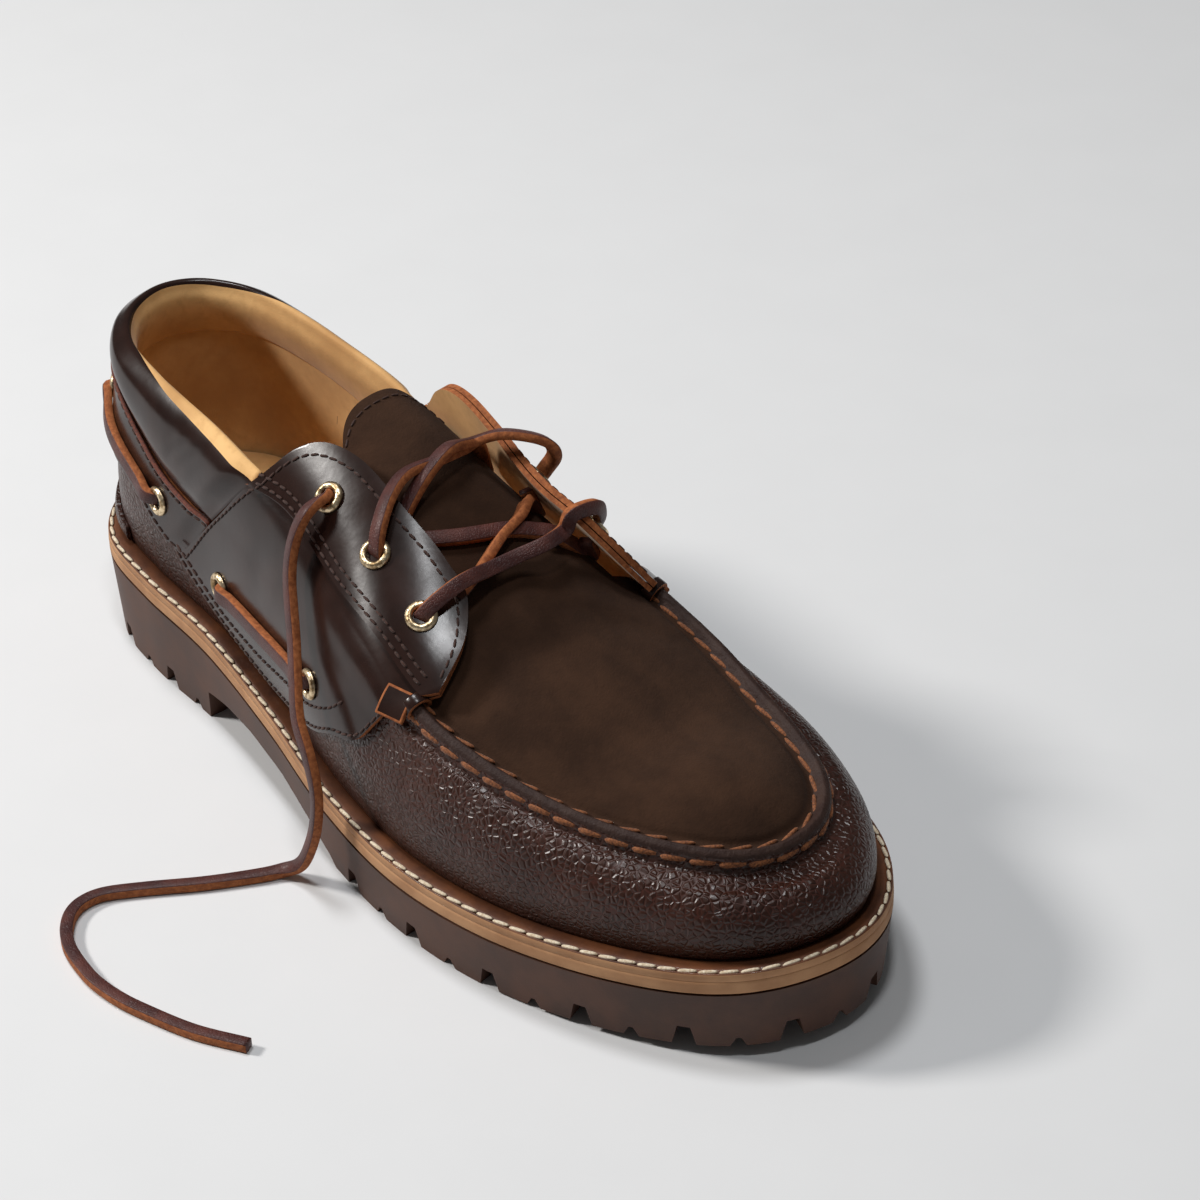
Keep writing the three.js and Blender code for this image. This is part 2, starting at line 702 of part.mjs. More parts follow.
function tongue() {
  const across = steps(10).map((t) => t * 2 - 1);
  const lengthwise = steps(8);
  const half = 5 - 4.22;
  const grid = (off) => lengthwise.map((t) => across.map((side) => {
    const width = 1 - 0.28 * THREE.MathUtils.smoothstep(t, 0.8, 1);
    const level = 5 + side * half * width;
    const front = throatFront(5 - Math.abs(5 - level)) - 0.004;
    const back = 0.388 + 0.03 * side ** 4;
    return last(turnAt(mix(front, back, t)), level, off);
  }));
  return shell(grid(-GAP), grid(-GAP - TONGUE_THICKNESS));
}

// Overlays: a panel between two curves on the last, from one offset to another

function panel({ foot, head, columns = 20, rows = 8, low, high, place, side }) {
  const curves = [foot, head].map((rowsOf) => ['along', 'level'].map((name) => against(rowsOf, 'share', name)));
  const at = (t, r, off) => {
    const along = mix(curves[0][0](t), curves[1][0](t), r);
    const level = mix(curves[0][1](t), curves[1][1](t), r);
    const turn = side === 'outer' ? turnAt(along) : mirrored(turnAt(along));
    return place(turn, level, off);
  };
  const grid = (off) => steps(columns).map((t) => steps(rows).map((r) => at(t, r, off)));
  return side === 'outer' ? shell(grid(high), grid(low)) : shell(grid(low), grid(high));
}

const SADDLE_BASE = 1.5 * LAYER_GAP;
const SADDLE_FACE = SADDLE_BASE + SADDLE_THICKNESS;
const EYESTAY_BASE = SADDLE_FACE + 1.4 * LAYER_GAP;
const EYESTAY_FACE = EYESTAY_BASE + EYESTAY_THICKNESS;
const QUARTER_FACE = LAYER_GAP + QUARTER_THICKNESS;

// Frame on a panel: where it is, its outward direction and the way round the shoe
function seat(side, along, level, off) {
  const turn = side === 'outer' ? turnAt(along) : mirrored(turnAt(along));
  const point = facing(turn, level, off);
  const normal = facing(turn, level, off + 1).sub(point).normalize();
  const round = facing(turn + SMALL, level, off).sub(facing(turn - SMALL, level, off)).normalize();
  const up = normal.clone().cross(round).normalize();
  return { point, basis: new THREE.Matrix4().makeBasis(up.clone().cross(normal), up, normal) };
}

function eyeletHole(side, row) {
  const { point, basis } = seat(side, row.along, row.level, 0);
  const drill = new THREE.CylinderGeometry(EYELET_BARREL + GAP, EYELET_BARREL + GAP, 16, EYELET_SIDES);
  drill.rotateX(Math.PI / 2);
  drill.applyMatrix4(basis);
  drill.translate(point.x, point.y, point.z);
  return drill;
}

const saddleHoles = (side) => [...FACING_EYELETS, ...SIDE_EYELETS.filter((row) => row.panel === 'saddle')]
  .map((row) => eyeletHole(side, row));

function saddle(side) {
  const body = panel({
    foot: SADDLE_FOOT,
    head: FACING_TOP,
    columns: 18,
    rows: 7,
    low: SADDLE_BASE,
    high: SADDLE_FACE,
    place: facing,
    side,
  });
  return surface(cutAll(solid(body), saddleHoles(side)));
}

function eyestay(side) {
  const body = panel({
    foot: EYESTAY_FOOT,
    head: FACING_TOP,
    columns: 12,
    rows: 3,
    low: EYESTAY_BASE,
    high: EYESTAY_FACE,
    place: facing,
    side,
  });
  return surface(cutAll(solid(body), FACING_EYELETS.map((row) => eyeletHole(side, row))));
}

// Bands round the heel

const rearSeam = against(REAR_SEAM, 'level', 'along');
const collarFoot = column(COLLAR_FOOT, 'level');
const quarterFoot = column(QUARTER_FOOT, 'level');

// A band round the heel from one rear seam to the other, on the wall's own stations
const HEEL_TURNS = UPPER_STATIONS.filter((along) => along < 0.2).map(turnAt);

function heelBand(front, back) {
  const level = (row, turn) => row[0](alongAt(turn));
  const endTurn = (row) => turnAt(rearSeam(level(row, turnAt(0.26))) - SEAM_STEP);
  const point = (row, turn) => last(turn < 0 ? turn + 2 * Math.PI : turn, level(row, turn), row[1]);
  const strip = (row) => {
    const near = HEEL_TURNS[HEEL_TURNS.length - 1];
    const outer = [...HEEL_TURNS, ...[0.33, 0.66, 1].map((t) => mix(near, endTurn(row), t))];
    return [...outer.slice(1).reverse().map((turn) => -turn), ...outer].map((turn) => point(row, turn));
  };
  const grid = (rows) => {
    const strips = rows.map(strip);
    return strips[0].map((_, i) => strips.map((points) => points[i]));
  };
  return shell(grid(front), grid(back));
}

function heelQuarter() {
  const rise = (r) => (along) => mix(quarterFoot(along), collarFoot(along) - 0.05, r);
  const rows = (off) => steps(2).map((r) => [rise(r), off]);
  const body = heelBand(rows(QUARTER_FACE), rows(LAYER_GAP));
  const holes = ['outer', 'inner'].flatMap((side) => SIDE_EYELETS.filter((row) => row.panel === 'quarter')
    .map((row) => eyeletHole(side, row)));
  return surface(cutAll(solid(body), holes));
}

// The collar is a padded roll folded over the wall's edge
function collar() {
  const rise = (r) => (along) => mix(collarFoot(along), 4, r);
  const rim = 3.84 + 0.04;
  const inside = -WALL - LAYER_GAP;
  const front = [
    [rise(0), 1.2], [rise(0.2), 0.75 * COLLAR_PADDING], [rise(0.5), COLLAR_PADDING],
    [rise(0.8), 0.8 * COLLAR_PADDING], [() => 4, 0.3 * COLLAR_PADDING], [() => 4.03, -0.9],
    [() => 4, inside], [() => 3.9, inside - 1.6], [() => 3.7, inside - 2.4], [() => 3.45, inside - 1.6],
  ];
  const back = [
    [rise(0), LAYER_GAP], [rise(0.2), LAYER_GAP], [rise(0.5), LAYER_GAP], [rise(0.8), LAYER_GAP],
    [() => rim, LAYER_GAP],
    [() => rim, -WALL / 2], [() => rim, inside], [() => 3.75, inside], [() => 3.6, inside], [() => 3.45, inside],
  ];
  return heelBand(front, back);
}

// A low half-round cover over the back of the heel, just above the welt
function heelPatch() {
  const halfTurn = turnAt(HEEL_PATCH_WIDTH / 2 / SHOE_LENGTH * 0.55);
  const grid = (off, round) => steps(8).map((t) => steps(3).map((r) => {
    const turn = mix(-halfTurn, halfTurn, t);
    const tall = 0.45 + 0.75 * Math.sin(Math.PI * t) ** 0.6;
    const swell = round * Math.sin(Math.PI * mix(0.12, 0.88, r)) * HEEL_PATCH_THICKNESS / 2;
    return last(turn < 0 ? turn + 2 * Math.PI : turn, mix(0.08, tall, r), off + swell);
  }));
  return shell(grid(LAYER_GAP + HEEL_PATCH_THICKNESS / 2, 1), grid(LAYER_GAP, 0));
}

// Hardware

function eyelet() {
  const profile = [
    [EYELET_BORE, -EYELET_LENGTH], [EYELET_BARREL, -EYELET_LENGTH], [EYELET_BARREL, 0], [EYELET_RADIUS, 0],
    [(EYELET_RADIUS + EYELET_BORE) / 2, EYELET_DOME], [EYELET_BORE, EYELET_DOME / 3],
    [EYELET_BORE, -EYELET_LENGTH],
  ].map(([r, z]) => new THREE.Vector2(r, z));
  const ring = new THREE.LatheGeometry(profile, EYELET_SIDES);
  ring.rotateX(Math.PI / 2);
  return tidy(ring);
}

// Square tab with a knot where the moc seam starts
function keeper(side) {
  const { point, basis } = seat(side, KEEPER.along, KEEPER.level, SADDLE_FACE + LAYER_GAP);
  const tab = new THREE.BoxGeometry(KEEPER_SIDE, KEEPER_SIDE, KEEPER_THICKNESS);
  tab.rotateZ(side === 'outer' ? KEEPER_TILT : -KEEPER_TILT);
  tab.translate(0, 0, KEEPER_THICKNESS / 2);
  const knot = new THREE.TorusGeometry(KNOT_RADIUS, KNOT_CORD / 2, 6, 10);
  knot.translate(KEEPER_SIDE * (side === 'outer' ? 0.4 : -0.4), -KEEPER_SIDE * 0.3, KEEPER_THICKNESS);
  const body = surface(joinAll(solid(tab), [knot]));
  body.applyMatrix4(basis);
  body.translate(point.x, point.y, point.z);
  return body;
}

// Rawhide that follows a run of points, each with its outward direction; wide and flat in section
function strap(points, outwards, width = LACE_WIDTH, thickness = LACE_THICKNESS) {
  const corners = points.map((point, i) => {
    const travel = points[Math.min(i + 1, points.length - 1)].clone().sub(points[Math.max(i - 1, 0)]).normalize();
    const side = outwards[i].clone().cross(travel).normalize();
    const up = travel.clone().cross(side).normalize();
    const corner = (a, b) => point.clone().addScaledVector(side, a * width / 2).addScaledVector(up, b * thickness / 2);
    return { front: [corner(-1, 1), corner(1, 1)], back: [corner(-1, -1), corner(1, -1)] };
  });
  return shell(corners.map((corner) => corner.front), corners.map((corner) => corner.back));
}

// A run of rawhide through rows of place, share of length, level and height over that place
function laceRun(rows, count) {
  const spot = ([place, along, level, off]) => {
    const turn = place === 'inner' ? mirrored(turnAt(along)) : turnAt(along);
    return place === 'tongue' ? last(turn, level, off) : facing(turn, level, off);
  };
  const outward = ([place, along, level, off]) => spot([place, along, level, off + 1])
    .sub(spot([place, along, level, off])).normalize();
  const curve = new THREE.CatmullRomCurve3(rows.map(spot), false, 'centripetal');
  const facingWay = new THREE.CatmullRomCurve3(rows.map(outward));
  const points = steps(count).map((t) => curve.getPoint(t));
  return strap(points, steps(count).map((t) => facingWay.getPoint(t).normalize()));
}

const OVER_EYELET = 3 * LAYER_GAP + EYELET_DOME + LACE_THICKNESS / 2;

// The rawhide between two side eyelets lies along the panel and rises over the eyelets at its ends
function sideLace(side, from, to, face) {
  const rows = steps(8).map((t) => {
    const along = alongAt(mix(turnAt(from.along), turnAt(to.along), t));
    const low = GAP + LACE_THICKNESS / 2 + 0.4;
    const off = face + mix(OVER_EYELET, low, Math.sin(Math.PI * t) ** 0.5);
    return [side, along, mix(from.level, to.level, t), off];
  });
  return laceRun(rows, 10);
}

// The runs between the facings, as they cross over the tongue
const OVER_FACING = EYESTAY_FACE + OVER_EYELET;
const FRONT_BAR = [
  ['outer', 0.576, 4.33, OVER_FACING],
  ['outer', 0.577, 4.5, OVER_FACING - 0.4],
  ['outer', 0.577, 4.66, 5.8],
  ['tongue', 0.577, 4.82, 4.6],
  ['tongue', 0.578, 5.05, 4.6],
  ['tongue', 0.58, 5.25, 6.6],
  ['inner', 0.583, 4.56, -3.4],
  ['inner', 0.585, 4.73, 1.5],
  ['inner', 0.584, 4.56, OVER_FACING],
  ['inner', 0.576, 4.33, OVER_FACING],
];
const UNDER_RISING = [
  ['tongue', 0.522, 5.6, 1.9],
  ['tongue', 0.545, 5.35, 1.9],
  ['tongue', 0.556, 5.1, 1.9],
  ['tongue', 0.567, 4.92, 2.2],
  ['tongue', 0.576, 4.84, 3.4],
];
const UNDER_LEVEL = [
  ['tongue', 0.537, 4.72, 2],
  ['tongue', 0.541, 4.85, 2],
  ['tongue', 0.546, 5, 2.2],
  ['tongue', 0.55, 5.2, 3.2],
  ['tongue', 0.557, 5.4, 2.8],
  ['tongue', 0.566, 5.55, 2.4],
];
const TOP_OUTER = [
  ['outer', 0.511, 4.31, OVER_FACING],
  ['outer', 0.5, 4.42, OVER_FACING],
  ['outer', 0.487, 4.54, 6.6],
  ['tongue', 0.479, 4.7, 5],
  ['tongue', 0.482, 4.95, 4],
  ['tongue', 0.478, 5.25, 3.6],
  ['tongue', 0.466, 5.52, 3],
];
const TOP_INNER = [
  ['inner', 0.511, 4.31, OVER_FACING],
  ['inner', 0.516, 4.42, OVER_FACING + 3],
  ['inner', 0.515, 4.58, OVER_FACING + 3],
  ['inner', 0.506, 4.71, OVER_FACING],
  ['inner', 0.494, 4.78, 1.5],
  ['inner', 0.484, 4.72, -6],
  ['tongue', 0.481, 5.05, 6],
  ['tongue', 0.487, 4.85, 5],
  ['tongue', 0.493, 4.72, 3.4],
];

const frontCrossing = () => surface(joinAll(solid(laceRun(FRONT_BAR, 26)), [
  laceRun(UNDER_RISING, 8),
  laceRun(UNDER_LEVEL, 8),
]));
const topCrossing = () => surface(joinAll(solid(laceRun(TOP_OUTER, 14)), [laceRun(TOP_INNER, 18)]));

// The free end hangs from the outer top eyelet to the floor and lies there in one loose bend
const LACE_END = [
  [-15.2, -34.4, 101.8], [-16.4, -37.4, 98.8], [-17.4, -40.6, 94], [-17.4, -43.4, 87.5],
  [-15.6, -46, 80.5], [-12, -48.6, 74.5], [-7, -52, 67.5], [-1.2, -56.4, 60],
  [5, -60.8, 52.5], [12, -63, 44.5], [15.6, -64, 35], [14.6, -64.4, 24], [11, -64.6, 14],
  [6.4, -65, 6], [1.5, -67.4, 2.3], [-2, -74.1, 1.7], [-9.3, -87.2, 1.7], [-17.8, -100, 1.7],
  [-23.6, -110, 1.7], [-24.4, -116.6, 1.7], [-22.2, -121.8, 1.7], [-17.7, -126.1, 1.7],
  [-12.8, -128.9, 1.7], [-7.7, -130.6, 1.7], [-1, -131.8, 1.7], [6.1, -132.4, 1.7],
  [14.9, -131.6, 1.7], [23.7, -129.5, 1.7], [39.5, -124.2, 1.7], [53.7, -116.5, 1.7],
];
const LACE_STEPS = 44;
const CORD_RADIUS = 1.6;

function laceEnd() {
  const curve = new THREE.CatmullRomCurve3(LACE_END.map((point) => new THREE.Vector3(...point)));
  const section = new THREE.Shape(steps(8).slice(0, -1).map((t) => {
    const angle = 2 * Math.PI * (t + 1 / 16);
    return new THREE.Vector2(CORD_RADIUS * Math.cos(angle), CORD_RADIUS * Math.sin(angle));
  }));
  return tidy(new THREE.ExtrudeGeometry(section, { steps: LACE_STEPS, extrudePath: curve, bevelEnabled: false }));
}

// Assembly

const leather = (color, roughness) => new THREE.MeshStandardMaterial({ color, roughness, metalness: 0 });
const MATERIALS = {
  rubber: leather(0x4a3128, 0.8),
  midsole: leather(0xc49a72, 0.7),
  welt: leather(0x8a5630, 0.6),
  insole: leather(0xc08a4c, 0.75),
  grain: leather(0x3a2620, 0.45),
  suede: leather(0x3b2b22, 0.95),
  smooth: leather(0x241915, 0.28),
  rawhide: leather(0x5a2a1a, 0.6),
  brass: new THREE.MeshStandardMaterial({ color: 0xb89a66, roughness: 0.35, metalness: 1 }),
};

const shoe = new THREE.Group();

function add(name, geometry, material, at) {
  const mesh = new THREE.Mesh(geometry, MATERIALS[material]);
  mesh.name = name;
  if (at) {
    mesh.position.copy(at.point);
    mesh.quaternion.setFromRotationMatrix(at.basis);
  }
  shoe.add(mesh);
  return mesh;
}

add('outsole', outsole(), 'rubber');
add('midsole', midsole(), 'midsole');
add('welt', welt(), 'welt');
add('insole', insole(), 'insole');
add('upper', upper(), 'grain');
add('tongue', tongue(), 'suede');
add('heel_quarter', heelQuarter(), 'smooth');
add('collar', collar(), 'smooth');
add('heel_patch', heelPatch(), 'grain');
for (const side of ['outer', 'inner']) {
  add(`saddle_${side}`, saddle(side), 'smooth');
  add(`eyestay_${side}`, eyestay(side), 'smooth');
  for (const row of FACING_EYELETS) {
    const place = seat(side, row.along, row.level, EYESTAY_FACE + 1.2 * LAYER_GAP);
    add(`eyelet_${side}_${row.name}`, eyelet(), 'brass', place);
  }
}

for (const side of ['outer', 'inner']) {
  for (const row of SIDE_EYELETS) {
    const face = row.panel === 'saddle' ? SADDLE_FACE : QUARTER_FACE;
    add(`side_eyelet_${side}_${row.name}`, eyelet(), 'brass', seat(side, row.along, row.level, face + LAYER_GAP));
  }
  const [front, middle, rear, heel] = SIDE_EYELETS;
  add(`side_lace_${side}_front`, sideLace(side, front, middle, SADDLE_FACE), 'rawhide');
  add(`side_lace_${side}_rear`, sideLace(side, rear, heel, QUARTER_FACE), 'rawhide');
  add(`keeper_${side}`, keeper(side), 'grain');
}

add('lace_crossing_front', frontCrossing(), 'rawhide');
add('lace_crossing_top', topCrossing(), 'rawhide');

// The origin is on the floor in the middle of the shoe's box, measured without the free lace end
const middle = new THREE.Box3().setFromObject(shoe).getCenter(new THREE.Vector3());
add('lace_end', laceEnd(), 'rawhide');
shoe.children.forEach((mesh) => mesh.position.sub(new THREE.Vector3(middle.x, middle.y, 0)));

export default shoe;
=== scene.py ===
"""Boat shoe for the right foot, dressed round its CAD frame.

Every piece is worked out from one last, a foot form with two coordinates. Turn runs once round
the foot, 0 at the heel and a half turn at the toe, outer side first. Level runs up the wall,
0 at the feather edge, 4 at the seam or collar line and 5 on the crown.
Shapes are worked out in millimetres and stored in metres. +X runs from heel to toe.
"""

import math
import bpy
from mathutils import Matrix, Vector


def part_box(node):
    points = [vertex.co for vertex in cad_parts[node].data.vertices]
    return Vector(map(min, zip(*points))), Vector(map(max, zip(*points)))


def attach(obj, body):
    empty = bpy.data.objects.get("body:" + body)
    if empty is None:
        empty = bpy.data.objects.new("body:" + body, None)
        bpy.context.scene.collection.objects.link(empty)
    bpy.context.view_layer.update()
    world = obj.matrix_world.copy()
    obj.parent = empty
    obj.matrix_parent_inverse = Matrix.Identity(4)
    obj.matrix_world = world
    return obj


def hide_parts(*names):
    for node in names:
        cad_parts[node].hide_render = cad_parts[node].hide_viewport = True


bl_info = {
    "name": "Boat Shoe",
    "version": (1, 0, 0),
    "blender": (4, 5, 0),
    "location": "3D View > Sidebar > Shoe",
    "description": "Dresses the frame of a right boat shoe with leather, laces, stitches and sole",
    "category": "Add Mesh",
}

import bmesh
import bpy
import numpy as np
from bpy.props import FloatProperty, FloatVectorProperty, PointerProperty
from mathutils import Matrix, Vector

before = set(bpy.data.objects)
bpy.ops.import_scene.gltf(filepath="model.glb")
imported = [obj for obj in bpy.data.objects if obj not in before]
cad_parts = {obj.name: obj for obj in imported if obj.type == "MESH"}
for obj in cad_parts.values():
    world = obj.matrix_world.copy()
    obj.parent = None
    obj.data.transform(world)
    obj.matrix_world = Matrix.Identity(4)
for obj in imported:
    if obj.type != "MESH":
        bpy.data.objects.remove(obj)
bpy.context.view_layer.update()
SOLE_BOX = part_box("midsole")
SOLE_LENGTH = round(SOLE_BOX[1][0] - SOLE_BOX[0][0], 4)
TO_METRES = 0.001
SMALL = 1e-3
FULL_TURN = 2 * math.pi
COLLAR_LEVEL = 4
CROWN_LEVEL = 5

# Shape tables, in shares of the last's sizes

OUTLINE = [
    # along, outer, inner
    (0.03, 0.212, 0.2), (0.08, 0.31, 0.292), (0.16, 0.352, 0.327), (0.28, 0.372, 0.323),
    (0.4, 0.425, 0.315), (0.52, 0.496, 0.363), (0.64, 0.529, 0.445), (0.74, 0.505, 0.474),
    (0.82, 0.447, 0.457), (0.9, 0.352, 0.386), (0.96, 0.232, 0.27),
]
TOE_POINT = 0.035
SOLE_PROFILE = [
    # along, rise
    (0, 1), (0.25, 0.963), (0.42, 0.796), (0.62, 0.648), (0.75, 0.667), (0.9, 0.759), (1, 0.889),
]
TREAD_PROFILE = [
    # along, spring
    (0, 0), (0.7, 0), (0.8, 0.15), (0.9, 0.5), (1, 1),
]
SECTIONS = [
    # along, low out, low up, mid out, mid up, high out, high up, top out, top up, crown
    (0, 1.05, 0.143, 1.03, 0.352, 0.93, 0.681, 0.85, 0.98, 0.995),
    (0.1, 1.03, 0.117, 1.02, 0.326, 0.93, 0.654, 0.81, 0.935, 0.986),
    (0.2, 1.02, 0.115, 1.02, 0.309, 0.955, 0.622, 0.83, 0.913, 0.996),
    (0.3, 1.02, 0.117, 1.02, 0.311, 0.97, 0.595, 0.85, 0.908, 0.998),
    (0.4, 1.02, 0.114, 1.02, 0.308, 0.96, 0.591, 0.8, 0.875, 0.961),
    (0.48, 1.02, 0.128, 1.02, 0.322, 0.95, 0.575, 0.79, 0.799, 0.878),
    (0.56, 1.025, 0.124, 1.02, 0.318, 0.95, 0.527, 0.82, 0.721, 0.725),
    (0.62, 1.03, 0.121, 1.02, 0.285, 0.95, 0.464, 0.85, 0.599, 0.606),
    (0.7, 1.035, 0.119, 1.02, 0.269, 0.94, 0.418, 0.82, 0.507, 0.5),
    (0.8, 1.035, 0.119, 1.01, 0.239, 0.93, 0.351, 0.79, 0.411, 0.401),
    (0.9, 1.035, 0.106, 1, 0.21, 0.91, 0.285, 0.79, 0.322, 0.401),
    (1, 1.03, 0.084, 0.985, 0.166, 0.88, 0.225, 0.74, 0.24, 0.401),
]
SPINE = [
    # along, out
    (0.4, 0), (0.6, -0.027), (0.75, -0.027), (0.85, 0), (1, 0.044),
]
SPINE_BACK = 0.1
SPINE_FRONT = 0.83
SPINE_EASE = 0.06
SHOULDER_DROP = 0.22

# Panel edges on the last

OPENING = [
    # along, level
    (0, 3.84), (0.34, 3.84), (0.39, 4.1), (0.6, 4.12), (0.604, 4.35), (0.608, 4.55),
    (0.614, 4.8), (0.62, 5),
]
COLLAR_FOOT = [
    # along, level
    (0, 3.5), (0.09, 3.42), (0.15, 3.07), (0.2, 2.86), (0.27, 2.8),
]
QUARTER_FOOT = [
    # along, level
    (0, 2.3), (0.06, 2.28), (0.13, 2.2), (0.19, 1.84), (0.23, 1.6),
]
SADDLE_FOOT = [
    # share, along, level
    (0, 0.218, 1.73), (0.16, 0.28, 0.98), (0.34, 0.367, 0.8), (0.55, 0.478, 1.3), (0.68, 0.53, 1.9),
    (0.79, 0.567, 2.3), (0.9, 0.589, 2.98), (0.95, 0.603, 3.6), (1, 0.622, 4.08),
]
FACING_TOP = [
    # share, along, level
    (0, 0.34, 3.96), (0.1, 0.363, 4.14), (0.2, 0.382, 4.31), (0.3, 0.403, 4.43), (0.42, 0.438, 4.52),
    (0.6, 0.5, 4.57), (0.76, 0.556, 4.62), (0.88, 0.592, 4.59), (0.95, 0.618, 4.42), (1, 0.634, 4.2),
]
EYESTAY_FOOT = [
    # share, along, level
    (0, 0.347, 3.99), (0.15, 0.385, 4.04), (0.6, 0.5, 4.05), (0.88, 0.592, 4.1), (1, 0.624, 4.12),
]
REAR_SEAM = [
    # level, along
    (1.5, 0.208), (2.75, 0.266), (3.95, 0.336),
]
LOW_SEAM = [
    # share, along, level
    (0, 0.218, 1.98), (0.2, 0.29, 1.32), (0.42, 0.356, 1.36), (0.62, 0.429, 1.68), (0.8, 0.478, 1.88),
    (0.92, 0.52, 2.3), (1, 0.545, 2.75),
]
FACING_EYELETS = [
    # along, level
    (0.576, 4.33), (0.511, 4.31), (0.44, 4.28),
]
SADDLE_EYELETS = [
    # along, level
    (0.485, 2.33), (0.297, 1.95),
]
QUARTER_EYELETS = [
    # along, level
    (0.185, 2.4), (0.033, 2.9),
]
KEEPER = (0.609, 3.89)

# Soft troughs and ridges of the worn leather: middle, reach and depth on one side of the shoe
CREASES = [
    # side, along, level, along reach, level reach, lean, depth in mm
    (-1, 0.6, 2.6, 0.012, 0.7, 0.02, 0.3), (-1, 0.645, 2.9, 0.01, 0.8, 0.015, 0.25),
    (-1, 0.44, 3.3, 0.03, 0.35, 0, 0.3), (-1, 0.54, 3.5, 0.02, 0.3, 0.02, -0.25),
    (-1, 0.37, 3, 0.02, 0.6, 0.01, 0.3), (-1, 0.66, 4.4, 0.012, 0.3, 0, 0.3),
    (1, 0.6, 2.7, 0.012, 0.7, 0.02, 0.3), (1, 0.645, 3, 0.01, 0.8, 0.015, 0.25),
    (1, 0.46, 3.2, 0.03, 0.4, 0, 0.3), (1, 0.38, 3, 0.02, 0.5, 0.01, 0.3),
    (1, 0.655, 4.5, 0.012, 0.3, 0, 0.3), (-1, 0.215, 3.55, 0.006, 0.2, 0, 0.35),
    (-1, 0.235, 3.6, 0.006, 0.2, 0, 0.3), (-1, 0.255, 3.6, 0.006, 0.2, 0, 0.25),
]

# Offsets of the layers over the last, in millimetres

GAP = 0.3
MIDSOLE_THICKNESS = 4
WELT_THICKNESS = 2.5
LAYER_GAP = 0.5
WALL = 2.2
SADDLE_BASE = 0.75
SADDLE_FACE = 2.15
EYESTAY_BASE = 2.85
EYESTAY_FACE = 4.15
QUARTER_FACE = 1.7
FLAP_ROOT = 3.9
FLAP_EASE = 0.4
FLAP_LEAN = [
    # along, lean
    (0.4, 0.16), (0.47, 0.3), (0.56, 0.6),
]
FLAP_BEND = 14
FLAP_LIFT = 1.4
EYELET_DOME = 1.2
LACE_THICKNESS = 2.4
STRAP_WIDTH = 4.1
STRAP_THICKNESS = 2.7
OVER_EYELET = 3 * LAYER_GAP + EYELET_DOME + LACE_THICKNESS / 2
OVER_FACING = EYESTAY_FACE + OVER_EYELET


# Curves through table points

def slopes(x, y, free):
    rise = np.diff(y) / np.diff(x)
    run = np.diff(x)
    m = np.zeros(len(x))
    inner = (rise[:-1] * run[1:] + rise[1:] * run[:-1]) / (run[:-1] + run[1:])
    m[1:-1] = np.where((rise[:-1] == 0) | (rise[1:] == 0), 0, inner)
    if free:
        m[0] = 1.5 * rise[0] - 0.5 * m[1]
        m[-1] = 1.5 * rise[-1] - 0.5 * m[-2]
    return m


def fair(x, y, free=False):
    x = np.array(x, float)
    y = np.array(y, float)
    m = slopes(x, y, free)

    def curve(at):
        at = np.clip(at, x[0], x[-1])
        i = np.clip(np.searchsorted(x, at, side="right") - 1, 0, len(x) - 2)
        h = x[i + 1] - x[i]
        t = (at - x[i]) / h
        return ((2 * t ** 3 - 3 * t ** 2 + 1) * y[i] + (t ** 3 - 2 * t ** 2 + t) * h * m[i]
                + (-2 * t ** 3 + 3 * t ** 2) * y[i + 1] + (t ** 3 - t ** 2) * h * m[i + 1])

    return curve


def turn_at(along):
    return np.arccos(1 - 2 * np.clip(along, 0, 1))


def along_at(turn):
    return (1 - np.cos(turn)) / 2


def turn_on(side, along):
    """Turn of a place along the outer side, -1, or the inner side, 1."""
    return turn_at(along) if side < 0 else FULL_TURN - turn_at(along)


def column(rows, index):
    curve = fair([turn_at(row[0]) for row in rows], [row[index] for row in rows])
    return lambda along: curve(turn_at(along))


def against(rows, index):
    return fair([row[0] for row in rows], [row[index] for row in rows], free=True)


def smoothstep(x, low, high):
    t = np.clip((x - low) / (high - low), 0, 1)
    return t * t * (3 - 2 * t)


def bell(x, middle, reach):
    return np.exp(-((x - middle) / reach) ** 2)


def run_along(line):
    """Length along a line of points, from its start to each of them."""
    return np.concatenate([[0], np.cumsum(np.linalg.norm(np.diff(line[:, :3], axis=0), axis=1))])


def run_up(grid):
    """Length up each row of a grid of points, from its start to each of them."""
    steps = np.linalg.norm(np.diff(grid, axis=1), axis=-1)
    return np.concatenate([np.zeros((len(grid), 1)), np.cumsum(steps, axis=1)], axis=1)


def unit(vectors):
    return vectors / np.maximum(np.linalg.norm(vectors, axis=-1, keepdims=True), 1e-9)


def catmull(points, count, closed=False):
    """Points on a smooth curve through the given ones, spread evenly along it."""
    points = np.asarray(points, float)
    if closed:
        ring = np.concatenate([points[-1:], points, points[:2]])
    else:
        ring = np.concatenate([2 * points[:1] - points[1:2], points, 2 * points[-1:] - points[-2:-1]])
    pieces = []
    t = np.linspace(0, 1, 12, endpoint=False)[:, None]
    for i in range(len(ring) - 3):
        a, b, c, d = ring[i:i + 4]
        pieces.append(0.5 * (2 * b + (c - a) * t + (2 * a - 5 * b + 4 * c - d) * t ** 2
                             + (3 * b - a - 3 * c + d) * t ** 3))
    line = np.concatenate(pieces + [ring[-2][None]])
    return even(line, count)


def even(line, count):
    """The same line with points spread evenly along it."""
    run = run_along(line)
    at = np.linspace(0, run[-1], count)
    return np.stack([np.interp(at, run, line[:, k]) for k in range(line.shape[1])], axis=1)


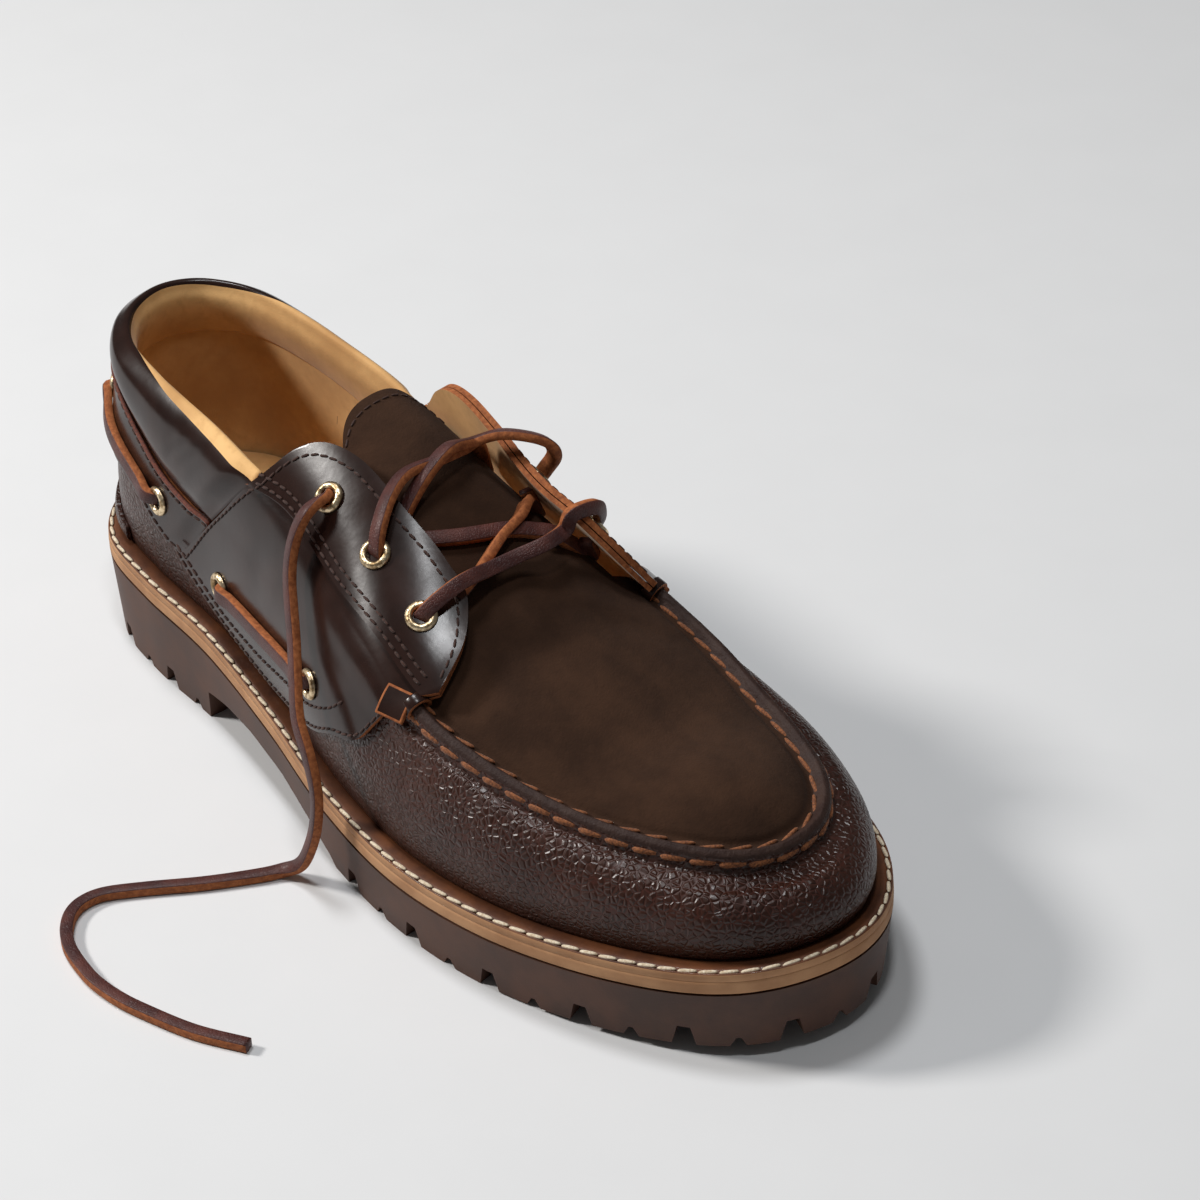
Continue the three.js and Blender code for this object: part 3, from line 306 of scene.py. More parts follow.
OPENING_LEVEL = fair([row[0] for row in OPENING], [row[1] for row in OPENING])
THROAT_FRONT = fair([row[1] for row in OPENING[-5:]], [row[0] for row in OPENING[-5:]], free=True)
REAR_SEAM_ALONG = against(REAR_SEAM, 1)
COLLAR_FOOT_LEVEL = column(COLLAR_FOOT, 1)
QUARTER_FOOT_LEVEL = column(QUARTER_FOOT, 1)
FLAP_LEAN_AT = column(FLAP_LEAN, 1)


def folded(turn, level):
    """The same places with those beyond the crown told from the other side."""
    turn, level = np.broadcast_arrays(np.asarray(turn, float), np.asarray(level, float))
    beyond = level > CROWN_LEVEL
    return np.where(beyond, FULL_TURN - turn, turn), np.where(beyond, 2 * CROWN_LEVEL - level, level)


class Last:
    """The foot form, worked out from the driving sizes of the shoe."""

    def __init__(self, sizes):
        self.length = sizes.shoe_length / TO_METRES
        self.width = sizes.ball_width / TO_METRES
        self.collar = sizes.collar_height / TO_METRES
        self.instep = sizes.instep_height / TO_METRES
        self.heel_rise = sizes.heel_rise / TO_METRES
        self.toe_spring = sizes.toe_spring / TO_METRES
        self.ledge = sizes.welt_ledge / TO_METRES
        self.sole_share = column(SOLE_PROFILE, 1)
        self.spring_share = column(TREAD_PROFILE, 1)
        self.spine_share = column(SPINE, 1)
        self.columns = [column(SECTIONS, index) for index in range(1, 10)]
        outer = [(turn_at(row[0]), -row[1]) for row in OUTLINE]
        inner = [(FULL_TURN - turn_at(row[0]), row[2]) for row in reversed(OUTLINE)]
        ring = [(0, 0), *outer, (math.pi, TOE_POINT), *inner]
        before = [(turn - FULL_TURN, out) for turn, out in ring[-3:]]
        after = [(turn + FULL_TURN, out) for turn, out in ring[:3]]
        knots = before + ring + after
        self.outline_share = fair([knot[0] for knot in knots], [knot[1] for knot in knots], free=True)
        turns = np.linspace(0, FULL_TURN, 2000)
        edge = self.outline(turns)[:, 1]
        middle = (edge.min() + edge.max()) / 2
        self.shift = (SOLE_BOX[0][1] + SOLE_BOX[1][1]) / 2 / TO_METRES - middle

    def outline(self, turn):
        """A point of the sole's outline, from above."""
        whole = np.mod(turn, FULL_TURN)
        return np.stack([-np.cos(whole) * self.length / 2, self.outline_share(whole) * self.width], axis=-1)

    def edge(self, turn, inset):
        """A point inside the sole's outline, and the way along it there."""
        travel = unit(self.outline(turn + SMALL) - self.outline(turn - SMALL))
        inward = np.stack([-travel[..., 1], travel[..., 0]], axis=-1)
        return self.outline(turn) + inward * np.asarray(inset)[..., None], travel

    def sole_top(self, x):
        return self.heel_rise * self.sole_share(x / self.length + 0.5)

    def tread(self, x):
        return self.toe_spring * self.spring_share(x / self.length + 0.5)

    def feather(self, x):
        return self.sole_top(x) + 3 * GAP + MIDSOLE_THICKNESS + WELT_THICKNESS

    def rib(self, turn):
        """Centre and edge from above, and how far out and how high each knot of the wall lies."""
        along = along_at(turn)
        top = SPINE_FRONT - SPINE_EASE
        low = SPINE_BACK + SPINE_EASE
        over = top + SPINE_EASE * (1 - np.exp(-np.maximum(along - top, 0) / SPINE_EASE))
        under = low - SPINE_EASE * (1 - np.exp(-np.maximum(low - along, 0) / SPINE_EASE))
        spine = np.where(along > top, over, np.where(along < low, under, along))
        centre = np.stack([(spine - 0.5) * self.length, self.spine_share(spine) * self.width], axis=-1)
        edge = self.edge(turn, np.full(np.shape(turn), self.ledge))[0]
        low_out, low_up, mid_out, mid_up, high_out, high_up, top_out, top_up = [
            curve(along) for curve in self.columns[:8]]
        foot = self.feather(edge[..., 0])
        crown = self.feather(centre[..., 0]) + self.columns[8](spine) * self.instep
        tops = foot + top_up * self.collar
        shoulder = crown - (crown - tops) * SHOULDER_DROP
        one = np.ones_like(along)
        out = [2 * one - low_out, one, low_out, mid_out, high_out, top_out, top_out / 2, 0 * one,
               -top_out / 2]
        up = [2 * foot - (foot + low_up * self.collar), foot, foot + low_up * self.collar,
              foot + mid_up * self.collar, foot + high_up * self.collar, tops, shoulder, crown, shoulder]
        return centre, edge, np.stack(out, axis=-1), np.stack(up, axis=-1)

    def base(self, turn, level):
        """A point of the foot form, on a smooth curve through the knots of its rib."""
        turn, level = folded(turn, level)
        centre, edge, out, up = self.rib(turn)
        knot = np.where(level <= COLLAR_LEVEL, level, COLLAR_LEVEL + (level - COLLAR_LEVEL) * 2)
        i = np.clip(np.floor(knot), 0, 5).astype(int)
        t = knot - i

        def between(values):
            a, b, c, d = [np.take_along_axis(values, (i + k)[..., None], -1)[..., 0] for k in range(4)]
            return 0.5 * (2 * b + (c - a) * t + (2 * a - 5 * b + 4 * c - d) * t ** 2
                          + (3 * b - a - 3 * c + d) * t ** 3)

        flat = centre + (edge - centre) * between(out)[..., None]
        return np.concatenate([flat, between(up)[..., None]], axis=-1)

    def normal(self, turn, level):
        turn, level = folded(turn, level)
        around = self.base(turn + SMALL, level) - self.base(turn - SMALL, level)
        upward = self.base(turn, level + SMALL) - self.base(turn, np.maximum(level - SMALL, 0))
        return unit(np.cross(around, upward))

    def at(self, turn, level, off):
        off = np.asarray(off, float)[..., None]
        return self.base(turn, level) + self.normal(turn, level) * off

    def facing_base(self, turn, level):
        """The outer facing lies over the tongue, the inner one bends up from its root and stands."""
        turn, level = np.broadcast_arrays(np.asarray(turn, float), np.asarray(level, float))
        lying = self.at(turn, level, FLAP_LIFT * smoothstep(level, FLAP_ROOT, FLAP_ROOT + FLAP_EASE))
        root = self.base(turn, np.full(np.shape(level), FLAP_ROOT))
        length = np.linalg.norm(self.base(turn, level) - root, axis=-1)
        rising = unit(root - self.base(turn, np.full(np.shape(level), FLAP_ROOT - SMALL)))
        lean = FLAP_LEAN_AT(along_at(turn))
        standing = np.stack([0 * lean, -np.sin(lean), np.cos(lean)], axis=-1)
        bent = np.minimum(length, FLAP_BEND) ** 2 / (2 * FLAP_BEND) + np.maximum(length - FLAP_BEND, 0)
        flap = root + rising * (length - bent)[..., None] + standing * bent[..., None]
        rooted = (level <= FLAP_ROOT)[..., None]
        outer = (turn < math.pi)[..., None]
        return np.where(rooted, self.base(turn, level), np.where(outer, lying, flap))

    def facing(self, turn, level, off):
        """A point over the panels, which bend away from the foot form above the flap's root."""
        turn, level = np.broadcast_arrays(np.asarray(turn, float), np.asarray(level, float))
        around = self.facing_base(turn + SMALL, level) - self.facing_base(turn - SMALL, level)
        upward = self.facing_base(turn, level + SMALL) - self.facing_base(turn, level - SMALL)
        off = np.asarray(off, float)[..., None]
        raised = self.facing_base(turn, level) + unit(np.cross(around, upward)) * off
        rooted = (level <= FLAP_ROOT - 4 * SMALL)[..., None]
        return np.where(rooted, self.at(turn, level, off[..., 0]), raised)

    def seat(self, side, along, level, off):
        """Where a piece sits on a panel: place, way round the shoe, way up and way out."""
        turn = turn_on(side, along)
        point = self.facing(turn, level, off)
        out = unit(self.facing(turn, level, off + 1) - point)
        around = unit(self.facing(turn + SMALL, level, off) - self.facing(turn - SMALL, level, off))
        up = unit(np.cross(out, around))
        return point, np.cross(up, out), up, out


def creased(side, along, level):
    """Depth of the soft troughs at a place on one side of the shoe."""
    depth = np.zeros(np.broadcast(along, level).shape)
    for of, middle, height, reach, tall, lean, deep in CREASES:
        if of == side:
            leaning = middle + lean * (level - height)
            depth = depth - deep * bell(along, leaning, reach) * bell(level, height, tall)
    return depth


def worn(side, along, level):
    """Depth of the soft troughs where places of both sides are mixed."""
    return np.where(side < 0, creased(-1, along, level), creased(1, along, level))


# Meshes

def wall(front, back, loop=False, slots=(0, 0, 0), crowned=None):
    """Points and faces of a wall between two grids of points, closed at its rims."""
    count, rows = front.shape[:2]
    points = np.concatenate([front.reshape(-1, 3), back.reshape(-1, 3)])
    steps = count if loop else count - 1
    i, j = np.meshgrid(np.arange(steps), np.arange(rows - 1), indexing="ij")
    near = (i % count) * rows + j
    far = ((i + 1) % count) * rows + j
    face = np.stack([near, far, far + 1, near + 1], axis=-1).reshape(-1, 4)
    shift = count * rows
    faces = [face, face[:, ::-1] + shift]
    kinds = [np.full(len(face), slots[0]), np.full(len(face), slots[1])]
    i = np.arange(steps)
    near = (i % count) * rows
    far = ((i + 1) % count) * rows
    foot = np.stack([near, near + shift, far + shift, far], axis=-1)
    head = foot[:, ::-1] + rows - 1
    if crowned is not None:
        head = head[~(crowned & np.roll(crowned, -1))]
    rims = [foot, head]
    if not loop:
        j = np.arange(rows - 1)
        start = np.stack([j, j + 1, j + 1 + shift, j + shift], axis=-1)
        rims += [start, start[:, ::-1] + (count - 1) * rows]
    faces += rims
    kinds += [np.full(len(rim), slots[2]) for rim in rims]
    return points, np.concatenate(faces), np.concatenate(kinds)


def tube(section, loop=False, slots=None):
    """Points and faces of a closed section carried along a path: section[i, k] is its point k."""
    count, sides = section.shape[:2]
    steps = count if loop else count - 1
    i, k = np.meshgrid(np.arange(steps), np.arange(sides), indexing="ij")
    near = (i % count) * sides
    far = ((i + 1) % count) * sides
    nxt = (k + 1) % sides
    faces = np.stack([near + k, far + k, far + nxt, near + nxt], axis=-1).reshape(-1, 4)
    kinds = np.zeros(len(faces), int) if slots is None else np.tile(slots, steps)
    listed = [list(face) for face in faces]
    if not loop:
        listed.append(list(range(sides)))
        listed.append(list(range((count - 1) * sides, count * sides))[::-1])
        kinds = np.concatenate([kinds, [0, 0]])
    return section.reshape(-1, 3), listed, kinds


def piece(last, name, finishes, points, faces, kinds=None, merge=0.01):
    """A named mesh object of the shoe from points in millimetres, riding on the frame."""
    materials = [finish_of(finish) for finish in finishes.split()]
    mesh = bpy.data.meshes.new(name)
    points = np.asarray(points, float) + np.array([0, last.shift, 0])
    mesh.from_pydata((points * TO_METRES).tolist(), [], [list(map(int, face)) for face in faces])
    for material in materials:
        mesh.materials.append(material)
    if kinds is not None:
        mesh.polygons.foreach_set("material_index", np.asarray(kinds, np.int32))
    shape = bmesh.new()
    shape.from_mesh(mesh)
    if merge:
        bmesh.ops.remove_doubles(shape, verts=shape.verts, dist=merge * TO_METRES)
    bmesh.ops.recalc_face_normals(shape, faces=shape.faces)
    shape.to_mesh(mesh)
    shape.free()
    mesh.shade_smooth()
    obj = bpy.data.objects.new(name, mesh)
    bpy.context.scene.collection.objects.link(obj)
    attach(obj, "root")
    return obj


def soften(obj, width, segments=2, angle=40):
    """Rounds the sharp edges of a piece by a small width in millimetres."""
    bevel = obj.modifiers.new("edge_round", "BEVEL")
    bevel.width = width * TO_METRES
    bevel.segments = segments
    bevel.limit_method = "ANGLE"
    bevel.angle_limit = math.radians(angle)
    tidy = obj.modifiers.new("face_normals", "WEIGHTED_NORMAL")
    tidy.keep_sharp = True
    return obj


def panel(last, foot, head, low, high, side, columns, rows):
    """Front and back grids of a panel between two curves on the last."""
    t, r = np.meshgrid(np.linspace(0, 1, columns), np.linspace(0, 1, rows), indexing="ij")
    along = against(foot, 1)(t) * (1 - r) + against(head, 1)(t) * r
    level = against(foot, 2)(t) * (1 - r) + against(head, 2)(t) * r
    turn = turn_on(side, along)
    soft = creased(side, along, level) * (side < 0)
    return last.facing(turn, level, high + soft), last.facing(turn, level, low + soft)


def line_on(last, side, rows, off, count=120):
    """Points and outward ways along a curve of along and level on one side of the shoe."""
    rows = catmull([(along, level, 0) for along, level in rows], count)
    turn = turn_on(side, rows[:, 0])
    points = last.facing(turn, rows[:, 1], np.full(count, float(off)))
    out = unit(last.facing(turn, rows[:, 1], np.full(count, off + 1.0)) - points)
    return points, out


STITCH_RINGS = [
    # place along the stitch, girth
    (-1, 0.3), (-0.82, 0.8), (-0.4, 1), (0.4, 1), (0.82, 0.8), (1, 0.3),
]
STITCH_SIDES = 6

# Each kind of stitch has its length, width, height and lean
SEAM_STITCH = (2.5, 0.8, 0.7, 0.1)
TONGUE_STITCH = (2.4, 0.7, 0.6, 0)
WELT_STITCH = (4.9, 1.15, 1.1, 0.09)
MOC_STITCH_LENGTH = 7.5


def stitches(points, out, pitch, length, width, height, lean):
    """Points and faces of a row of thread stitches lying along a line."""
    run = run_along(points)
    count = max(int(round(run[-1] / pitch)), 1)
    middles = (np.arange(count) + 0.5) * run[-1] / count
    spot = np.stack([np.interp(middles, run, points[:, k]) for k in range(3)], axis=1)
    ahead = np.stack([np.interp(middles + 0.5, run, points[:, k]) for k in range(3)], axis=1)
    behind = np.stack([np.interp(middles - 0.5, run, points[:, k]) for k in range(3)], axis=1)
    way = unit(ahead - behind)
    face = unit(np.stack([np.interp(middles, run, out[:, k]) for k in range(3)], axis=1))
    across = unit(np.cross(face, way))
    way = unit(way + across * lean)
    across = unit(np.cross(face, way))
    angle = np.linspace(0, FULL_TURN, STITCH_SIDES, endpoint=False)
    body = []
    for place, girth in STITCH_RINGS:
        ring = (spot[:, None] + way[:, None] * place * length / 2
                + across[:, None] * (np.cos(angle) * width / 2 * girth)[None, :, None]
                + face[:, None] * (np.sin(angle) * height / 2 * girth)[None, :, None])
        body.append(ring)
    body = np.stack(body, axis=1)
    rings = len(STITCH_RINGS)
    faces = []
    for stitch in range(count):
        first = stitch * rings * STITCH_SIDES
        for ring in range(rings - 1):
            for k in range(STITCH_SIDES):
                a = first + ring * STITCH_SIDES + k
                b = first + ring * STITCH_SIDES + (k + 1) % STITCH_SIDES
                faces.append([a, a + STITCH_SIDES, b + STITCH_SIDES, b])
        faces.append([first + k for k in range(STITCH_SIDES)])
        last_ring = first + (rings - 1) * STITCH_SIDES
        faces.append([last_ring + k for k in range(STITCH_SIDES)][::-1])
    return body.reshape(-1, 3), faces


def joined(parts):
    """One set of points and faces from several."""
    points = []
    faces = []
    shift = 0
    for some_points, some_faces in parts:
        points.append(some_points)
        faces += [[int(corner) + shift for corner in face] for face in some_faces]
        shift += len(some_points)
    return np.concatenate(points), faces


def strap(points, out, width=STRAP_WIDTH, thickness=STRAP_THICKNESS):
    """Section of square rawhide along a path: grain face first, then the cut sides."""
    way = np.gradient(points, axis=0)
    side = unit(np.cross(out, way))
    up = unit(np.cross(way, side))
    round_by = 0.82
    corners = [(-1, round_by), (-round_by, 1), (round_by, 1), (1, round_by),
               (1, -round_by), (round_by, -1), (-round_by, -1), (-1, -round_by)]
    section = [points + side * a * width / 2 + up * b * thickness / 2 for a, b in corners]
    return np.stack(section, axis=1)


STRAP_SLOTS = np.array([0, 0, 0, 1, 1, 1, 1, 1])


def cord_tube(points, out, radius, sides=8):
    """Section of a round cord along a path."""
    way = unit(np.gradient(points, axis=0))
    side = unit(np.cross(out, way))
    up = np.cross(way, side)
    angle = np.linspace(0, FULL_TURN, sides, endpoint=False)
    return (points[:, None] + side[:, None] * np.cos(angle)[None, :, None] * radius
            + up[:, None] * np.sin(angle)[None, :, None] * radius)


# Finishes

class Value:
    """A number or colour over the surface, with the sums that the finishes use."""

    def __init__(self, finish, socket):
        self.finish = finish
        self.socket = socket

    def _sum(self, operation, first, second):
        return self.finish.node("Math", {"operation": operation}, {0: first, 1: second})

    def __add__(self, other):
        return self._sum("ADD", self, other)

    def __radd__(self, other):
        return self._sum("ADD", other, self)

    def __sub__(self, other):
        return self._sum("SUBTRACT", self, other)

    def __rsub__(self, other):
        return self._sum("SUBTRACT", other, self)

    def __mul__(self, other):
        return self._sum("MULTIPLY", self, other)

    def __rmul__(self, other):
        return self._sum("MULTIPLY", other, self)


class Finish:
    """One material, its shader and the nodes that paint it."""

    def __init__(self, name, **sockets):
        self.material = bpy.data.materials.new(name)
        self.material.use_nodes = True
        self.tree = self.material.node_tree
        self.shader = self.tree.nodes["Principled BSDF"]
        for socket, value in sockets.items():
            self.shader.inputs[socket.replace("_", " ")].default_value = value

    def node(self, kind, settings=None, inputs=None, output=0):
        """Adds a node: its settings first, then the values or links of its sockets."""
        made = self.tree.nodes.new("ShaderNode" + kind)
        for setting, value in (settings or {}).items():
            setattr(made, setting, value)
        for socket, value in (inputs or {}).items():
            if isinstance(value, Value):
                self.tree.links.new(value.socket, made.inputs[socket])
            else:
                made.inputs[socket].default_value = value
        return Value(self, made.outputs[output])

    def place(self):
        return self.node("TexCoord", output="Object")

    def noise(self, scale, detail=3.0, roughness=0.55):
        inputs = {"Vector": self.place(), "Scale": scale, "Detail": detail, "Roughness": roughness}
        return self.node("TexNoise", {}, inputs, "Fac")

    def cells(self, scale, feature="DISTANCE_TO_EDGE", place=None):
        inputs = {"Vector": place or self.place(), "Scale": scale}
        return self.node("TexVoronoi", {"feature": feature}, inputs, "Distance")

    def ranged(self, value, low, high):
        inputs = {"Value": value, "From Min": low, "From Max": high}
        return self.node("MapRange", {"interpolation_type": "SMOOTHSTEP"}, inputs)

    def blend(self, factor, first, second):
        def colour(value):
            return value if isinstance(value, Value) else (*value, 1)
        inputs = {0: factor, 6: colour(first), 7: colour(second)}
        return self.node("Mix", {"data_type": "RGBA"}, inputs, 2)

    def bump(self, height, depth, strength=1.0):
        return self.node("Bump", {}, {"Height": height, "Distance": depth, "Strength": strength})

    def paint(self, **sockets):
        for socket, value in sockets.items():
            self.tree.links.new(value.socket, self.shader.inputs[socket.replace("_", " ")])
        return self.material


def pebbled_leather(colours):
    finish = Finish("pebbled_leather", Specular_IOR_Level=0.36)
    wander = finish.node("VectorMath", {"operation": "ADD"}, {
        0: finish.place(),
        1: finish.node("VectorMath", {"operation": "SCALE"}, {
            0: finish.node("TexNoise", {}, {"Vector": finish.place(), "Scale": 160.0}, "Color"),
            "Scale": 0.001,
        }),
    })
    pebble = finish.cells(560.0, place=wander)
    dome = finish.ranged(pebble, 0.0, 0.3)
    valley = 1.0 - finish.ranged(pebble, 0.0, 0.08)
    tone = finish.noise(38.0, 4.0)
    top = finish.blend(finish.ranged(tone, 0.3, 0.7), colours.grain_dark, colours.grain_light)
    colour = finish.blend(valley * 0.6, top, colours.grain_valley)
    height = dome + finish.noise(500.0) * 0.2
    rough = 0.26 + finish.noise(90.0) * 0.1 + valley * 0.15
    return finish.paint(Base_Color=colour, Roughness=rough, Normal=finish.bump(height, 0.0002, 1.0))


def smooth_leather(colours):
    finish = Finish("smooth_leather", Specular_IOR_Level=0.34)
    tone = finish.noise(55.0, 5.0)
    colour = finish.blend(finish.ranged(tone, 0.35, 0.75), colours.smooth_dark, colours.smooth_light)
    rough = 0.15 + finish.noise(70.0, 4.0) * 0.16
    height = finish.noise(130.0, 3.0)
    return finish.paint(Base_Color=colour, Roughness=rough, Normal=finish.bump(height, 0.00012, 0.5))


def ridge_leather(colours):
    finish = Finish("ridge_leather", Specular_IOR_Level=0.22)
    tone = finish.noise(160.0, 5.0)
    colour = finish.blend(finish.ranged(tone, 0.3, 0.75), colours.smooth_light, colours.ridge_light)
    streaks = finish.noise(500.0, 4.0, 0.7)
    rough = 0.5 + streaks * 0.2
    return finish.paint(Base_Color=colour, Roughness=rough, Normal=finish.bump(streaks, 0.0006, 0.9))


def suede(colours):
    finish = Finish("suede", Sheen_Weight=0.03, Sheen_Roughness=0.5, Specular_IOR_Level=0.15)
    blotch = finish.noise(42.0, 5.0, 0.65)
    nap = finish.noise(1500.0, 3.0, 0.7)
    tone = finish.ranged(blotch, 0.32, 0.7) * 0.7 + nap * 0.3
    colour = finish.blend(tone, colours.suede_dark, colours.suede_light)
    rough = 0.88 + nap * 0.1
    height = nap + finish.noise(420.0, 3.0) * 0.8
    return finish.paint(Base_Color=colour, Roughness=rough, Normal=finish.bump(height, 0.0003, 0.7))


def lining_leather(colours):
    finish = Finish("lining_leather", Specular_IOR_Level=0.3, Sheen_Weight=0.15)
    tone = finish.noise(28.0, 5.0)
    fleck = finish.noise(320.0, 3.0)
    colour = finish.blend(finish.ranged(tone, 0.3, 0.75), colours.lining_dark, colours.lining_light)
    shade = finish.blend(finish.ranged(fleck, 0.45, 0.7) * 0.3, colour, colours.lining_dark)
    rough = 0.6 + fleck * 0.2
    height = fleck + finish.cells(1300.0) * 0.6
    return finish.paint(Base_Color=shade, Roughness=rough, Normal=finish.bump(height, 0.00015, 0.5))


def cut_leather(colours):
    finish = Finish("cut_leather", Specular_IOR_Level=0.3)
    fibre = finish.noise(700.0, 4.0, 0.7)
    colour = finish.blend(finish.ranged(fibre, 0.3, 0.75), colours.cut_dark, colours.cut_light)
    rough = 0.7 + fibre * 0.2
    return finish.paint(Base_Color=colour, Roughness=rough, Normal=finish.bump(fibre, 0.0003, 0.7))


def rawhide(colours):
    finish = Finish("rawhide", Coat_Weight=0.1, Coat_Roughness=0.4, Specular_IOR_Level=0.4)
    tone = finish.noise(120.0, 5.0)
    grain = finish.cells(1300.0)
    colour = finish.blend(finish.ranged(tone, 0.3, 0.75), colours.rawhide_dark, colours.rawhide_light)
    rough = 0.42 + tone * 0.2
    height = finish.ranged(grain, 0.0, 0.15) + finish.noise(300.0)
    return finish.paint(Base_Color=colour, Roughness=rough, Normal=finish.bump(height, 0.0002, 0.6))


def rubber(colours):
    finish = Finish("sole_rubber", Specular_IOR_Level=0.4)
    tone = finish.noise(60.0, 4.0)
    colour = finish.blend(finish.ranged(tone, 0.3, 0.7), colours.rubber_dark, colours.rubber_light)
    fine = finish.noise(1800.0, 2.0)
    rough = 0.5 + tone * 0.15
    return finish.paint(Base_Color=colour, Roughness=rough, Normal=finish.bump(fine, 0.00008, 0.6))


def foam(colours):
    finish = Finish("midsole_foam", Specular_IOR_Level=0.3)
    tone = finish.noise(80.0, 4.0)
    fine = finish.noise(2200.0, 2.0)
    colour = finish.blend(finish.ranged(tone, 0.3, 0.7), colours.midsole_dark, colours.midsole_light)
    rough = 0.62 + fine * 0.2
    return finish.paint(Base_Color=colour, Roughness=rough, Normal=finish.bump(fine, 0.0001, 0.6))


def welt_leather(colours):
    finish = Finish("welt_leather", Specular_IOR_Level=0.4, Coat_Weight=0.1)
    tone = finish.noise(90.0, 5.0)
    fibre = finish.noise(900.0, 3.0)
    colour = finish.blend(finish.ranged(tone, 0.3, 0.72), colours.welt_dark, colours.welt_light)
    rough = 0.45 + fibre * 0.25
    return finish.paint(Base_Color=colour, Roughness=rough, Normal=finish.bump(fibre, 0.00015, 0.6))


def thread(name, dark, light):
    finish = Finish(name, Specular_IOR_Level=0.3, Sheen_Weight=0.1)
    strand = finish.noise(1600.0, 3.0)
    colour = finish.blend(finish.ranged(strand, 0.3, 0.7), dark, light)
    rough = 0.6 + strand * 0.2
    return finish.paint(Base_Color=colour, Roughness=rough, Normal=finish.bump(strand, 0.0002, 0.6))


def brass(colours):
    finish = Finish("eyelet_brass", Metallic=1.0)
    fleck = finish.cells(900.0, "F1")
    tone = finish.noise(600.0, 4.0)
    colour = finish.blend(finish.ranged(tone, 0.4, 0.65), colours.brass_light, colours.brass_dark)
    rough = 0.25 + tone * 0.25
    return finish.paint(Base_Color=colour, Roughness=rough, Normal=finish.bump(fleck, 0.0002, 0.6))


def plain(name, colour, rough):
    finish = Finish(name, Roughness=rough)
    tone = finish.noise(30.0)
    paler = tuple(min(part * 1.04, 1) for part in colour)
    return finish.paint(Base_Color=finish.blend(tone, colour, paler))


MAKERS = {
    "pebbled": pebbled_leather, "smooth": smooth_leather, "suede": suede, "ridge": ridge_leather,
    "lining": lining_leather, "cut": cut_leather, "rawhide": rawhide, "rubber": rubber,
    "foam": foam, "welt": welt_leather, "brass": brass,
}
THREADS = {"cream_thread": "cream", "brown_thread": "brown", "moc_thread": "moc", "piping": "piping"}
# Near-black of the eyelet and insole holes: painted shade standing in for the dark inside of each hole
HOLE_SHADE_COLOUR = (0.01, 0.006, 0.004)
HOLE_ROUGHNESS = 0.9
FINISHES = {}


def finish_of(name):
    """The material of that name, made once from the scene's colours."""
    if name not in FINISHES:
        colours = bpy.context.scene.shoe_colours
        if name in THREADS:
            tones = [getattr(colours, THREADS[name] + tone) for tone in ("_dark", "_light")]
            FINISHES[name] = thread(name, *tones)
        elif name in MAKERS:
            FINISHES[name] = MAKERS[name](colours)
        # Any other finish name gets the painted shade of the holes
        else:
            FINISHES[name] = plain(name, HOLE_SHADE_COLOUR, HOLE_ROUGHNESS)
    return FINISHES[name]


def length_property(name, value, words):
    return FloatProperty(name=name, description=words, default=value, min=0.0, unit="LENGTH", precision=4)


def colour_property(name, value, words):
    return FloatVectorProperty(name=name, description=words, default=value, min=0.0, max=1.0,
                               size=3, subtype="COLOR")


class ShoeSizes(bpy.types.PropertyGroup):
    """Driving sizes of the last and the sole."""

    shoe_length: length_property("Shoe length", SOLE_LENGTH, "Length of the sole")
    ball_width: length_property("Ball width", 0.113, "Width that the outline's shares are taken of")
    collar_height: length_property("Collar height", 0.067, "Height of the wall at the heel")
    instep_height: length_property("Instep height", 0.086, "Height of the crown at the instep")
    heel_rise: length_property("Heel rise", 0.027, "Height of the outsole at the heel")
    toe_spring: length_property("Toe spring", 0.0052, "Height of the tread at the toe")
    welt_ledge: length_property("Welt ledge", 0.006, "Width of the welt that shows round the upper")
    moc_ridge: length_property("Moc ridge", 0.0034, "Height of the ridge round the plug")
    collar_padding: length_property("Collar padding", 0.0032, "How far the padded collar swells")
    lug_pitch: length_property("Lug pitch", 0.0144, "Distance between the cuts of the sole's edge")
    welt_pitch: length_property("Welt stitch pitch", 0.0054, "Distance between stitches of the welt")
    moc_pitch: length_property("Moc stitch pitch", 0.0074, "Distance between stitches of the moc seam")
    seam_pitch: length_property("Seam stitch pitch", 0.0031, "Distance between stitches of the panels")


